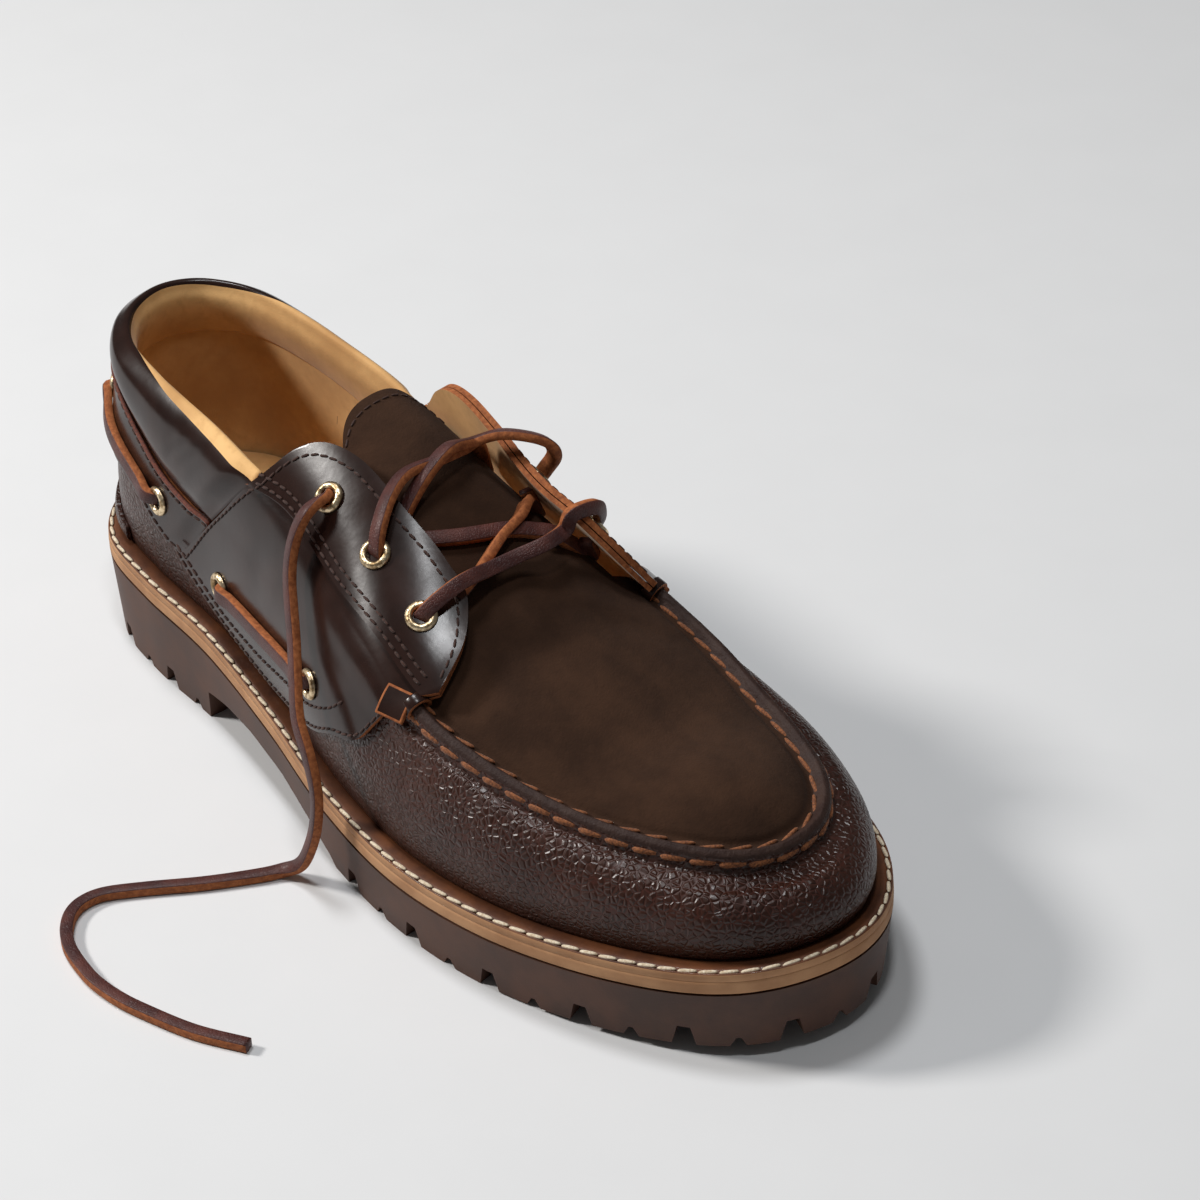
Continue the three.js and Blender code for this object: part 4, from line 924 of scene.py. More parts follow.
class ShoeColours(bpy.types.PropertyGroup):
    """Colours of the leathers, threads, sole and brass."""

    grain_dark: colour_property("Grain dark", (0.022, 0.007, 0.004), "Pebbled leather, darker tone")
    grain_light: colour_property("Grain light", (0.042, 0.015, 0.009), "Pebbled leather, lighter tone")
    grain_valley: colour_property("Grain valley", (0.06, 0.012, 0.006), "Valleys of the pebbled leather")
    smooth_dark: colour_property("Smooth dark", (0.013, 0.005, 0.0035), "Smooth leather, darker tone")
    smooth_light: colour_property("Smooth light", (0.026, 0.011, 0.008), "Smooth leather, lighter tone")
    ridge_light: colour_property("Ridge light", (0.042, 0.021, 0.015), "Rubbed tone of the moc ridge")
    suede_dark: colour_property("Suede dark", (0.024, 0.0105, 0.0055), "Suede, darker tone")
    suede_light: colour_property("Suede light", (0.055, 0.025, 0.013), "Suede, lighter tone")
    lining_dark: colour_property("Lining dark", (0.48, 0.25, 0.085), "Lining, darker tone")
    lining_light: colour_property("Lining light", (0.78, 0.47, 0.19), "Lining, lighter tone")
    cut_dark: colour_property("Cut dark", (0.2, 0.055, 0.016), "Cut edges, darker tone")
    cut_light: colour_property("Cut light", (0.42, 0.14, 0.045), "Cut edges, lighter tone")
    rawhide_dark: colour_property("Rawhide dark", (0.045, 0.011, 0.01), "Grain of the lace, darker tone")
    rawhide_light: colour_property("Rawhide light", (0.1, 0.026, 0.018), "Grain of the lace, lighter tone")
    rubber_dark: colour_property("Rubber dark", (0.05, 0.02, 0.011), "Outsole, darker tone")
    rubber_light: colour_property("Rubber light", (0.088, 0.036, 0.02), "Outsole, lighter tone")
    midsole_dark: colour_property("Midsole dark", (0.36, 0.18, 0.085), "Midsole, darker tone")
    midsole_light: colour_property("Midsole light", (0.48, 0.26, 0.13), "Midsole, lighter tone")
    welt_dark: colour_property("Welt dark", (0.06, 0.018, 0.007), "Welt, darker tone")
    welt_light: colour_property("Welt light", (0.14, 0.045, 0.014), "Welt, lighter tone")
    cream_dark: colour_property("Cream dark", (0.5, 0.38, 0.25), "Welt thread, darker tone")
    cream_light: colour_property("Cream light", (0.78, 0.68, 0.52), "Welt thread, lighter tone")
    brown_dark: colour_property("Brown dark", (0.022, 0.008, 0.005), "Panel thread, darker tone")
    brown_light: colour_property("Brown light", (0.055, 0.02, 0.012), "Panel thread, lighter tone")
    moc_dark: colour_property("Moc dark", (0.1, 0.03, 0.01), "Moc thread, darker tone")
    moc_light: colour_property("Moc light", (0.29, 0.1, 0.032), "Moc thread, lighter tone")
    piping_dark: colour_property("Piping dark", (0.06, 0.014, 0.008), "Piping, darker tone")
    piping_light: colour_property("Piping light", (0.16, 0.04, 0.02), "Piping, lighter tone")
    brass_dark: colour_property("Brass dark", (0.3, 0.2, 0.1), "Eyelets, darker flecks")
    brass_light: colour_property("Brass light", (0.8, 0.64, 0.42), "Eyelets, lighter metal")
    floor: colour_property("Floor", (0.69, 0.69, 0.695), "Floor and backdrop")


def shoe_last(context):
    return Last(context.scene.shoe_sizes)


def in_mm(context, name):
    return getattr(context.scene.shoe_sizes, name) / TO_METRES


# Stage

PHOTO_AZIMUTH = 50.818
PHOTO_ELEVATION = 34.266
PHOTO_ROLL = -1.717
PHOTO_DISTANCE = 996.163
PHOTO_ASIDE = (-36.461, -50.146)
PHOTO_LENS = 104.31
SENSOR = 36


def photo_camera(shift):
    azimuth = math.radians(PHOTO_AZIMUTH)
    elevation = math.radians(PHOTO_ELEVATION)
    roll = math.radians(PHOTO_ROLL)
    back = Vector((math.sin(azimuth) * math.cos(elevation), -math.cos(azimuth) * math.cos(elevation),
                   math.sin(elevation)))
    right = Vector((math.cos(azimuth), math.sin(azimuth), 0))
    up = back.cross(right)
    across = math.cos(roll) * right + math.sin(roll) * up
    upward = math.cos(roll) * up - math.sin(roll) * right
    place = back * PHOTO_DISTANCE - across * PHOTO_ASIDE[0] - upward * PHOTO_ASIDE[1]
    place += Vector((0, shift, 0))
    turned = Matrix((across, upward, back)).transposed().to_4x4()
    turned.translation = place * TO_METRES
    return turned


LIGHTS = [
    # name, place in metres, looks at, size in metres, power in watts, colour
    ("key", (-1.1, -1.0, 1.2), (0, 0, 0.03), 0.34, 27, (1, 0.975, 0.94)),
    ("window", (0.34, -0.2, 1.7), (0.03, -0.03, 0.08), 0.2, 6, (0.96, 0.98, 1)),
    ("sky", (-0.42, -0.05, 1.7), (0.05, -0.03, 0.07), 0.4, 12, (0.96, 0.98, 1)),
]


WORLD_STRENGTH = 0.12
WORLD_COLOUR = (0.8, 0.82, 0.82, 1)
FLOOR_REACH = 6.0
FLOOR_ROUGHNESS = 0.85
NEAREST_SEEN = 0.05


class SHOE_OT_stage(bpy.types.Operator):
    """Makes the pale floor, the soft light and the camera"""

    bl_idname = "shoe.stage"
    bl_label = "Stage"

    def execute(self, context):
        last = shoe_last(context)
        camera = bpy.data.cameras.new("photo_camera")
        camera.lens = PHOTO_LENS
        camera.sensor_width = SENSOR
        camera.clip_start = NEAREST_SEEN
        eye = bpy.data.objects.new("photo_camera", camera)
        eye.matrix_world = photo_camera(last.shift)
        context.scene.collection.objects.link(eye)
        context.scene.camera = eye
        floor = bpy.data.meshes.new("floor")
        corners = [(x * FLOOR_REACH, y * FLOOR_REACH, 0) for x, y in ((-1, -1), (1, -1), (1, 1), (-1, 1))]
        floor.from_pydata(corners, [], [(0, 1, 2, 3)])
        colour = tuple(context.scene.shoe_colours.floor)
        floor.materials.append(plain("floor_paper", colour, FLOOR_ROUGHNESS))
        ground = bpy.data.objects.new("floor", floor)
        context.scene.collection.objects.link(ground)
        for name, place, target, size, power, colour in LIGHTS:
            lamp = bpy.data.lights.new(name, "AREA")
            lamp.shape = "DISK"
            lamp.size = size
            lamp.energy = power
            lamp.color = colour
            holder = bpy.data.objects.new(name, lamp)
            holder.location = place
            aim = Vector(target) - Vector(place)
            holder.rotation_euler = aim.to_track_quat("-Z", "Y").to_euler()
            context.scene.collection.objects.link(holder)
        world = bpy.data.worlds.new("studio")
        world.use_nodes = True
        glow = world.node_tree.nodes["Background"]
        glow.inputs["Color"].default_value = WORLD_COLOUR
        glow.inputs["Strength"].default_value = WORLD_STRENGTH
        context.scene.world = world
        context.scene.view_settings.view_transform = "Standard"
        return {"FINISHED"}


# Sole

SOLE_TURNS = np.linspace(0, FULL_TURN, 360, endpoint=False)
WAIST = [
    # along, up
    (0.257, -1), (0.262, 10), (0.3, 11.9), (0.35, 12.5), (0.42, 10.8), (0.48, 6.9), (0.515, 3.1),
    (0.53, -1),
]
CUTS = [
    # width at the tread, width at the top, depth
    (7, 3.5, 6.2), (5.4, 1.2, 2.8),
]
CUT_REACH = 11
CUT_OUTSIDE = 3
HEEL_END = 0.235
BALL_START = 0.56
SOLE_TAPER = 1.8


def swept_ring(last, profile):
    """A closed section of inset and height carried once round the sole's outline."""
    rings = []
    for inset, height in profile:
        flat = last.edge(SOLE_TURNS, np.full(len(SOLE_TURNS), float(inset)))[0]
        rings.append(np.column_stack([flat, last.sole_top(flat[:, 0]) + height]))
    return tube(np.stack(rings, axis=1), loop=True)


def spaced_turns(last, start, end, pitch):
    """Turns an even distance apart along the sole's edge."""
    fine = np.linspace(start, end, 600)
    run = run_along(last.outline(fine))
    count = max(round(run[-1] / pitch), 2)
    return np.interp(np.linspace(0, run[-1], count + 1), run, fine)


def cutter(last, turn, foot, head, low, high):
    """A tapered block across the sole's edge, wider at its foot than at its head."""
    point, travel = last.edge(np.array([turn]), [0.0])
    point = point[0]
    travel = travel[0]
    inward = np.array([-travel[1], travel[0]])
    corners = []
    for width, z in ((foot, low), (head, high)):
        for a, b in ((-1, -CUT_OUTSIDE), (1, -CUT_OUTSIDE), (1, CUT_REACH), (-1, CUT_REACH)):
            flat = point + travel * a * width / 2 + inward * b
            corners.append([*flat, z])
    faces = [[0, 1, 2, 3], [4, 5, 6, 7], [0, 1, 5, 4], [1, 2, 6, 5], [2, 3, 7, 6], [3, 0, 4, 7]]
    return np.array(corners), faces


def waist_cutter(last):
    rows = [((along - 0.5) * last.length, up) for along, up in WAIST]
    count = len(rows)
    points = [[x, y, z] for y in (-80, 80) for x, z in rows]
    faces = [list(range(count)), list(range(count, 2 * count))]
    for k in range(count):
        nxt = (k + 1) % count
        faces.append([k, nxt, nxt + count, k + count])
    return np.array(points, float), faces


def cut(body, tool):
    """Takes a tool out of a body and keeps the result in the body's mesh."""
    modifier = body.modifiers.new("cut", "BOOLEAN")
    modifier.operation = "DIFFERENCE"
    modifier.solver = "EXACT"
    modifier.object = tool
    graph = bpy.context.evaluated_depsgraph_get()
    result = bpy.data.meshes.new_from_object(body.evaluated_get(graph))
    body.modifiers.clear()
    body.data = result
    bpy.data.objects.remove(tool)


class SHOE_OT_outsole(bpy.types.Operator):
    """Makes the lugged rubber outsole"""

    bl_idname = "shoe.outsole"
    bl_label = "Outsole"

    def execute(self, context):
        last = shoe_last(context)
        front = []
        rows = [0, 0.15, 0.5, 0.85, 1]
        for row in rows:
            flat = last.edge(SOLE_TURNS, np.full(len(SOLE_TURNS), SOLE_TAPER * (1 - row)))[0]
            low = last.tread(flat[:, 0])
            top = last.sole_top(flat[:, 0])
            front.append(np.column_stack([flat, low + (top - low) * row]))
        section = np.stack(front, axis=1)
        count = len(SOLE_TURNS)
        sides = len(rows)
        points, faces, _ = tube(section, loop=True)
        faces = [face for index, face in enumerate(faces) if index % sides != sides - 1]
        half = count // 2
        for row in (0, sides - 1):
            for k in range(1, half):
                near = k * sides + row
                far = (k + 1) * sides + row
                mirror = ((count - k) % count) * sides + row
                beyond = ((count - k - 1) % count) * sides + row
                if far != beyond:
                    faces.append([near, far, beyond, mirror])
                else:
                    faces.append([near, far, mirror])
            faces.append([row, sides + row, (count - 1) * sides + row])
        sole = piece(last, "outsole_lugged", "rubber", points, faces)
        pitch = in_mm(context, "lug_pitch")
        heel_end = float(turn_at(HEEL_END))
        ball_start = float(turn_at(BALL_START))
        runs = [spaced_turns(last, -heel_end, heel_end, pitch),
                spaced_turns(last, ball_start, FULL_TURN - ball_start, pitch)]
        tools = []
        for run in runs:
            for k, turn in enumerate(run):
                foot, head, depth = CUTS[k % len(CUTS)]
                ground = float(last.tread(last.outline(np.array([turn]))[0, 0]))
                tools.append(cutter(last, turn, foot, head, ground - 1, ground + depth))
        tools.append(waist_cutter(last))
        for points, faces in (joined(tools[:-1]), tools[-1]):
            tool = piece(last, "cutting_tool", "rubber", points, faces, merge=0)
            cut(sole, tool)
        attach(sole, "root")
        sole.data.shade_smooth()
        soften(sole, 0.5, 2, 35)
        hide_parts("outsole")
        return {"FINISHED"}


class SHOE_OT_midsole(bpy.types.Operator):
    """Makes the tan midsole"""

    bl_idname = "shoe.midsole"
    bl_label = "Midsole"

    def execute(self, context):
        last = shoe_last(context)
        profile = [(14, GAP), (0.9, GAP), (0.2, 0.6), (-0.1, 1.2), (0, 2.3), (-0.1, 3.6), (0, 4.5),
                   (0.1, 4.54), (14, 4.54)]
        points, faces, kinds = swept_ring(last, profile)
        layer = piece(last, "midsole_layer", "foam", points, faces, kinds)
        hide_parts("midsole")
        return {"FINISHED"}


WELT_STITCH_INSET = 1.25
WELT_STITCH_SINK = 0.05


class SHOE_OT_welt(bpy.types.Operator):
    """Makes the welt and its row of cream stitches"""

    bl_idname = "shoe.welt"
    bl_label = "Welt"

    def execute(self, context):
        last = shoe_last(context)
        low = 2 * GAP + MIDSOLE_THICKNESS
        top = low + WELT_THICKNESS
        profile = [(10.8, low), (0.1, low), (0, low + 0.04), (0.1, top - 0.6), (0.2, top - 0.3),
                   (0.3, top - 0.15), (0.5, top), (0.7, top - 0.1), (0.9, top - 0.5), (1.6, top - 0.5),
                   (1.9, top - 0.1), (2.5, top + 0.05), (4, top - 0.1), (10.8, top - 0.1)]
        points, faces, _ = swept_ring(last, profile)
        side = np.array([0, 1, 1, 1, 0, 0, 0, 0, 0, 0, 0, 0, 0, 0])
        kinds = np.tile(side, len(SOLE_TURNS))
        layer = piece(last, "welt_strip", "welt foam", points, faces, kinds)
        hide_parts("welt")
        turns = np.linspace(0, FULL_TURN, 1400)
        flat = last.edge(turns, np.full(len(turns), WELT_STITCH_INSET))[0]
        line = np.column_stack([flat, last.sole_top(flat[:, 0]) + top - WELT_STITCH_SINK])
        out = np.tile([0.0, 0.0, 1.0], (len(line), 1))
        points, faces = stitches(line, out, in_mm(context, "welt_pitch"), *WELT_STITCH)
        row = piece(last, "welt_stitches", "cream_thread", points, faces, merge=0)
        return {"FINISHED"}


BED_CLEARANCE = 0.6
BED_RINGS = 14
BED_SPINE = (-105, 112)
BED_HEIGHT = 4.4
BED_RIM = 2.2
PRICKED_LENGTH = (-118, 20)
PRICKED_HALF = 21
PRICK_PITCH = 7.0
PRICK_RADIUS = 0.7
PRICK_LIFT = 0.07
PRICK_SIDES = 10


class SHOE_OT_insole(bpy.types.Operator):
    """Makes the lined footbed with its rows of small holes, drawn as flat dots of painted shade"""

    bl_idname = "shoe.insole"
    bl_label = "Insole"

    def execute(self, context):
        last = shoe_last(context)
        inset = last.ledge + WALL + BED_CLEARANCE
        rings = []
        for share in np.linspace(0, 1, BED_RINGS):
            flat = last.edge(SOLE_TURNS, np.full(len(SOLE_TURNS), inset))[0]
            middle = np.column_stack([np.clip(flat[:, 0], *BED_SPINE), np.zeros(len(flat))])
            at = middle * share + flat * (1 - share)
            rise = BED_HEIGHT + BED_RIM * (1 - share) ** 6 * (share > 0)
            rings.append(np.column_stack([at, last.feather(at[:, 0]) + rise]))
        points, faces, _ = tube(np.stack(rings, axis=1), loop=True)
        sides = len(rings)
        faces = [face for index, face in enumerate(faces) if index % sides != sides - 1]
        bed = piece(last, "insole_footbed", "lining", points, faces)
        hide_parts("insole")
        # Each hole is a flat near-black disc just over the bed: painted shade of the hole's recess
        holes = []
        angle = np.linspace(0, FULL_TURN, PRICK_SIDES, endpoint=False)
        for x in np.arange(*PRICKED_LENGTH, PRICK_PITCH):
            for k, y in enumerate(np.arange(-PRICKED_HALF, PRICKED_HALF + 1, PRICK_PITCH)):
                if (x + 90) ** 2 / 900 + y ** 2 / 500 > 1 and x < -60:
                    continue
                at = x + PRICK_PITCH / 2 * (k % 2)
                height = float(last.feather(at)) + BED_HEIGHT + PRICK_LIFT
                ring = np.column_stack([at + np.cos(angle) * PRICK_RADIUS, y + np.sin(angle) * PRICK_RADIUS,
                                        np.full(PRICK_SIDES, height)])
                holes.append((ring, [list(range(PRICK_SIDES))]))
        points, faces = joined(holes)
        dots = piece(last, "insole_hole_shade", "hole_shade", points, faces, merge=0)
        return {"FINISHED"}


# Upper

RIDGE = [
    # along, outer level, inner level
    (0.6, 4.06, 4.02), (0.7, 4.05, 4.06), (0.78, 4.08, 4.12), (0.85, 4.14, 4.15), (0.92, 4.19, 4.13),
    (1, 4.16, 4.16),
]
RIDGE_WIDTH = 1.9
WALL_UPS = np.concatenate([
    np.linspace(0, 0.7, 36), np.linspace(0.7, 0.77, 10)[1:], np.linspace(0.77, 0.87, 44)[1:],
    np.linspace(0.87, 1, 16)[1:],
])
MOC_NEAR = float(turn_at(0.58))
MOC_PAST = float(turn_at(0.63))
UPPER_HALF = np.concatenate([
    np.linspace(0, MOC_NEAR, 74), np.linspace(MOC_NEAR, MOC_PAST, 22)[1:],
    np.linspace(MOC_PAST, math.pi, 110)[1:],
])
UPPER_TURNS = np.concatenate([UPPER_HALF, (FULL_TURN - UPPER_HALF[1:-1])[::-1]])


def ridge_level(turn):
    along = along_at(turn)
    outer = column(RIDGE, 1)(along)
    inner = column(RIDGE, 2)(along)
    return np.where(turn < math.pi, outer, inner)


def ridge_height(last, turn, level, high):
    """How far the moc ridge stands over the wall, and the way across it in millimetres."""
    run = run_up(last.base(turn, level))
    seam = ridge_level(turn[:, 0])
    crest = np.array([np.interp(seam[i], level[i], run[i]) for i in range(len(turn))])
    across = run - crest[:, None]
    along = along_at(turn)
    rising = smoothstep(across, -RIDGE_WIDTH - 2.6, -RIDGE_WIDTH * 0.4)
    falling = 1 - smoothstep(across, RIDGE_WIDTH * 0.35, RIDGE_WIDTH)
    groove = -0.5 * bell(across, RIDGE_WIDTH + 1.4, 1.1) - 0.5 * bell(across, -RIDGE_WIDTH - 2.8, 1.2)
    share = smoothstep(along, 0.604, 0.622)
    return share * (high * rising * falling + groove), across


class SHOE_OT_upper(bpy.types.Operator):
    """Makes the hollow upper: pebbled wrap, moc ridge, suede plug and lining"""

    bl_idname = "shoe.upper"
    bl_label = "Upper"

    def execute(self, context):
        last = shoe_last(context)
        turn = UPPER_TURNS[:, None]
        along = along_at(turn)
        top = OPENING_LEVEL(along)
        level = np.minimum(WALL_UPS[None] * top, 5)
        ridge, across = ridge_height(last, turn, level, in_mm(context, "moc_ridge"))
        side = np.where(turn < math.pi, -1, 1)
        soft = worn(side, along, level)
        calm = 1 - smoothstep(along, 0.72, 0.8)
        front = last.at(turn + 0 * level, level, ridge + soft * calm)
        back = last.at(turn + 0 * level, level, np.full(level.shape, -WALL))
        crowned = (top[:, 0] > 5 - SMALL)
        points, faces, kinds = wall(front, back, loop=True, slots=(0, 3, 4), crowned=crowned)
        rows = level.shape[1]
        count = len(UPPER_TURNS) * (rows - 1)
        middle = (across[:, 1:] + across[:, :-1]) / 2
        forward = np.broadcast_to(along > 0.6, middle.shape)
        kind = np.where(forward & (middle > RIDGE_WIDTH * 0.9), 2, np.where(
            forward & (middle > -RIDGE_WIDTH), 1, 0))
        kinds[:count] = kind.reshape(-1)
        finishes = "pebbled ridge suede lining cut"
        shell = piece(last, "upper_moc_toe", finishes, points, faces, kinds)
        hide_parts("upper")
        return {"FINISHED"}


MOC_START = 0.616
MOC_ROWS = [
    # offset from the crest, height off the leather, lean, thickness
    (-RIDGE_WIDTH - 0.4, 1.05, 0.12, 2.3), (RIDGE_WIDTH - 0.2, 0.4, 0.2, 1.3),
]


class SHOE_OT_moc_stitches(bpy.types.Operator):
    """Sews the moc seam along both sides of its ridge"""

    bl_idname = "shoe.moc_stitches"
    bl_label = "Moc stitches"

    def execute(self, context):
        last = shoe_last(context)
        first = float(turn_at(MOC_START))
        turns = np.linspace(first, FULL_TURN - first, 700)
        parts = []
        for offset, off, lean, thick in MOC_ROWS:
            levels = np.linspace(3.3, 4.5, 220)
            run = run_up(last.base(turns[:, None], levels[None]))
            seam = ridge_level(turns)
            crest = np.array([np.interp(seam[i], levels, run[i]) for i in range(len(turns))])
            level = np.array([np.interp(crest[i] + offset, run[i], levels) for i in range(len(turns))])
            line = last.at(turns, level, np.full(len(turns), off))
            out = last.normal(turns, level)
            parts.append(stitches(line, out, in_mm(context, "moc_pitch"), MOC_STITCH_LENGTH,
                                  thick, thick, lean))
        points, faces = joined(parts)
        row = piece(last, "moc_stitches", "moc_thread", points, faces, merge=0)
        return {"FINISHED"}


TONGUE_HALF = 0.78


TONGUE_DIP = 0.35
TONGUE_THICKNESS = 2.4
TONGUE_STITCH_ROW = 66
STITCH_LIFT = 0.1


class SHOE_OT_tongue(bpy.types.Operator):
    """Makes the suede tongue, one with the plug, and its stitched top edge"""

    bl_idname = "shoe.tongue"
    bl_label = "Tongue"

    def execute(self, context):
        last = shoe_last(context)
        t, across = np.meshgrid(np.linspace(0, 1, 70), np.linspace(-1, 1, 60), indexing="ij")
        width = 1 - 0.28 * smoothstep(t, 0.8, 1)
        level = 5 + across * TONGUE_HALF * width
        front = THROAT_FRONT(5 - np.abs(5 - level)) + 0.002
        back = 0.388 + 0.03 * across ** 4
        along = front * (1 - t) + back * t
        turn = turn_at(along)
        dip = -TONGUE_DIP * smoothstep(t, 0.02, 0.2)
        face = last.at(turn, level, dip)
        under = last.at(turn, level, dip - TONGUE_THICKNESS)
        points, faces, kinds = wall(face, under, slots=(0, 0, 1))
        flap = piece(last, "tongue_flap", "suede brown_thread", points, faces, kinds)
        soften(flap, 0.5)
        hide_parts("tongue")
        row = TONGUE_STITCH_ROW
        line = last.at(turn[row], level[row], dip[row] + STITCH_LIFT)
        out = last.normal(turn[row], level[row])
        points, faces = stitches(line, out, in_mm(context, "seam_pitch"), *TONGUE_STITCH)
        seam = piece(last, "tongue_stitches", "brown_thread", points, faces, merge=0)
        return {"FINISHED"}


SIDES = {"outer": -1, "inner": 1}


class SHOE_OT_saddles(bpy.types.Operator):
    """Makes the smooth saddle on each side"""

    bl_idname = "shoe.saddles"
    bl_label = "Saddles"

    def execute(self, context):
        last = shoe_last(context)
        for name, side in SIDES.items():
            front, back = panel(last, SADDLE_FOOT, FACING_TOP, SADDLE_BASE, SADDLE_FACE, side, 110, 70)
            points, faces, kinds = wall(front, back, slots=(0, 1, 2))
            finishes = "smooth lining cut"
            saddle = piece(last, "saddle_leather_" + name, finishes, points, faces, kinds)
            soften(saddle, 0.45)
            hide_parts("saddle_" + name)
        return {"FINISHED"}


class SHOE_OT_eyestays(bpy.types.Operator):
    """Makes the facing strip that carries the eyelets on each side"""

    bl_idname = "shoe.eyestays"
    bl_label = "Eyestays"

    def execute(self, context):
        last = shoe_last(context)
        for name, side in SIDES.items():
            front, back = panel(last, EYESTAY_FOOT, FACING_TOP, EYESTAY_BASE - 0.4, EYESTAY_FACE, side,
                                110, 28)
            points, faces, kinds = wall(front, back, slots=(0, 1, 1))
            strip = piece(last, "eyestay_leather_" + name, "smooth cut", points, faces, kinds)
            soften(strip, 0.5)
            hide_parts("eyestay_" + name)
        return {"FINISHED"}


SEAM_TUCK = 0.004
TUCKED = 0.65


def heel_strip(last, level_of, off, count=200):
    """Points of a line round the heel between the rear seams of the saddles."""
    end = turn_at(REAR_SEAM_ALONG(level_of(0.26)) + SEAM_TUCK)
    share = np.linspace(-1, 1, count)
    turn = share * end
    level = level_of(along_at(turn)) + 0 * turn
    side = np.where(turn < 0, 1, -1)
    along = along_at(turn)
    soft = worn(side, along, level)
    whole = np.mod(turn, FULL_TURN)
    raised = off + (soft if off > 0.6 else 0)
    tucked = smoothstep(np.abs(share), 0.94, 0.985)
    raised = np.where(raised > TUCKED, raised * (1 - tucked) + TUCKED * tucked, raised)
    return last.at(whole, level, raised + 0 * turn)


COVER_HALF_TURN = 0.64
COVER_SWELL = 2.1


class SHOE_OT_heel_quarter(bpy.types.Operator):
    """Makes the smooth band round the heel and the low pebbled cover over its back"""

    bl_idname = "shoe.heel_quarter"
    bl_label = "Heel quarter"

    def execute(self, context):
        last = shoe_last(context)

        def height(share):
            return lambda along: (QUARTER_FOOT_LEVEL(along) * (1 - share)
                                  + (COLLAR_FOOT_LEVEL(along) - 0.05) * share)

        shares = np.linspace(0, 1, 24)
        front = np.stack([heel_strip(last, height(share), QUARTER_FACE) for share in shares], axis=1)
        back = np.stack([heel_strip(last, height(share), 0.1) for share in shares], axis=1)
        points, faces, kinds = wall(front, back, slots=(0, 0, 1))
        band = piece(last, "heel_quarter_band", "smooth cut", points, faces, kinds)
        soften(band, 0.4)
        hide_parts("heel_quarter")
        t, r = np.meshgrid(np.linspace(0, 1, 60), np.linspace(0, 1, 22), indexing="ij")
        turn = np.mod(COVER_HALF_TURN * (2 * t - 1), FULL_TURN)
        tall = 0.75 + 0.45 * np.sin(math.pi * t) ** 0.6
        across = np.sin(math.pi * (0.03 + 0.94 * t)) ** 0.4
        swell = np.sin(math.pi * (0.08 + 0.84 * r)) ** 0.7 * COVER_SWELL * across
        level = 0.08 * (1 - r) + tall * r
        front = last.at(turn, level, 0.9 + swell)
        back = last.at(turn, level, np.full(level.shape, 0.1))
        points, faces, kinds = wall(front, back)
        cover = piece(last, "heel_cover", "pebbled", points, faces, kinds)
        soften(cover, 0.5)
        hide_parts("heel_patch")
        return {"FINISHED"}


class SHOE_OT_collar(bpy.types.Operator):
    """Makes the padded collar, its tan lining inside and the piping below it"""

    bl_idname = "shoe.collar"
    bl_label = "Collar"

    def execute(self, context):
        last = shoe_last(context)
        swell = in_mm(context, "collar_padding")
        inside = -WALL - LAYER_GAP

        def rise(share):
            return lambda along: COLLAR_FOOT_LEVEL(along) * (1 - share) + COLLAR_LEVEL * share

        def fixed(level):
            return lambda along: np.full(np.shape(along), float(level))

        profile = [
            (rise(0), 0.9), (rise(0.1), 0.6 * swell), (rise(0.25), 0.9 * swell), (rise(0.5), swell),
            (rise(0.75), 0.92 * swell), (rise(0.92), 0.6 * swell), (fixed(4.04), 0.1 * swell),
            (fixed(4.05), -1), (fixed(4), inside), (fixed(3.88), inside - 1.6), (fixed(3.7), inside - 2.3),
            (fixed(3.45), inside - 1.8), (fixed(3.2), inside - 0.4), (fixed(3.2), -WALL),
            (fixed(3.6), -WALL), (fixed(3.84), -WALL), (fixed(3.86), 0.1), (rise(0.5), 0.1),
            (rise(0.1), 0.1),
        ]
        strips = np.stack([heel_strip(last, level, off, 220) for level, off in profile], axis=1)
        fine = 4
        rings = np.stack([catmull(ring, len(profile) * fine + 1, closed=True)[:-1] for ring in strips])
        sides = rings.shape[1]
        run = np.arange(sides) / fine
        slots = np.where((run > 5.1) & (run < 15), 1, 0)
        points, faces, kinds = tube(rings, slots=slots)
        roll = piece(last, "collar_roll", "smooth lining", points, faces, kinds)
        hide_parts("collar")
        line = heel_strip(last, lambda along: COLLAR_FOOT_LEVEL(along) - 0.06, 1.8, 260)
        whole = np.mod(np.linspace(-1, 1, 260) * turn_at(0.26), FULL_TURN)
        out = last.normal(whole, COLLAR_FOOT_LEVEL(along_at(whole)))
        points, faces, _ = tube(cord_tube(line, out, 0.75))
        pipe = piece(last, "collar_piping", "piping", points, faces, merge=0)
        return {"FINISHED"}


# Stitch rows on the panels: name, offset, rows of along and level

def seam_rows():
    shares = np.linspace(0, 1, 40)
    top_along = against(FACING_TOP, 1)(shares)
    top_level = against(FACING_TOP, 2)(shares)
    stay_along = against(EYESTAY_FOOT, 1)(shares)
    stay_level = against(EYESTAY_FOOT, 2)(shares)
    foot_along = against(SADDLE_FOOT, 1)(shares)
    foot_level = against(SADDLE_FOOT, 2)(shares)
    low = [row[1:] for row in LOW_SEAM]
    rear = [(float(REAR_SEAM_ALONG(level)) + 0.011, level) for level in np.linspace(1.85, 3.9, 20)]
    inset = 0.075
    return [
        ("facing_top", EYESTAY_FACE, list(zip(top_along[1:-1], top_level[1:-1] - inset))),
        ("eyestay_low", EYESTAY_FACE, list(zip(stay_along[1:-1], stay_level[1:-1] + 0.035))),
        ("eyestay_second", EYESTAY_FACE, list(zip(stay_along[1:-1], stay_level[1:-1] + 0.085))),
        ("saddle_foot", SADDLE_FACE, list(zip(foot_along[:-1], foot_level[:-1] + 0.1))),
        ("saddle_low", SADDLE_FACE, low),
        ("saddle_rear", SADDLE_FACE, rear),
    ]


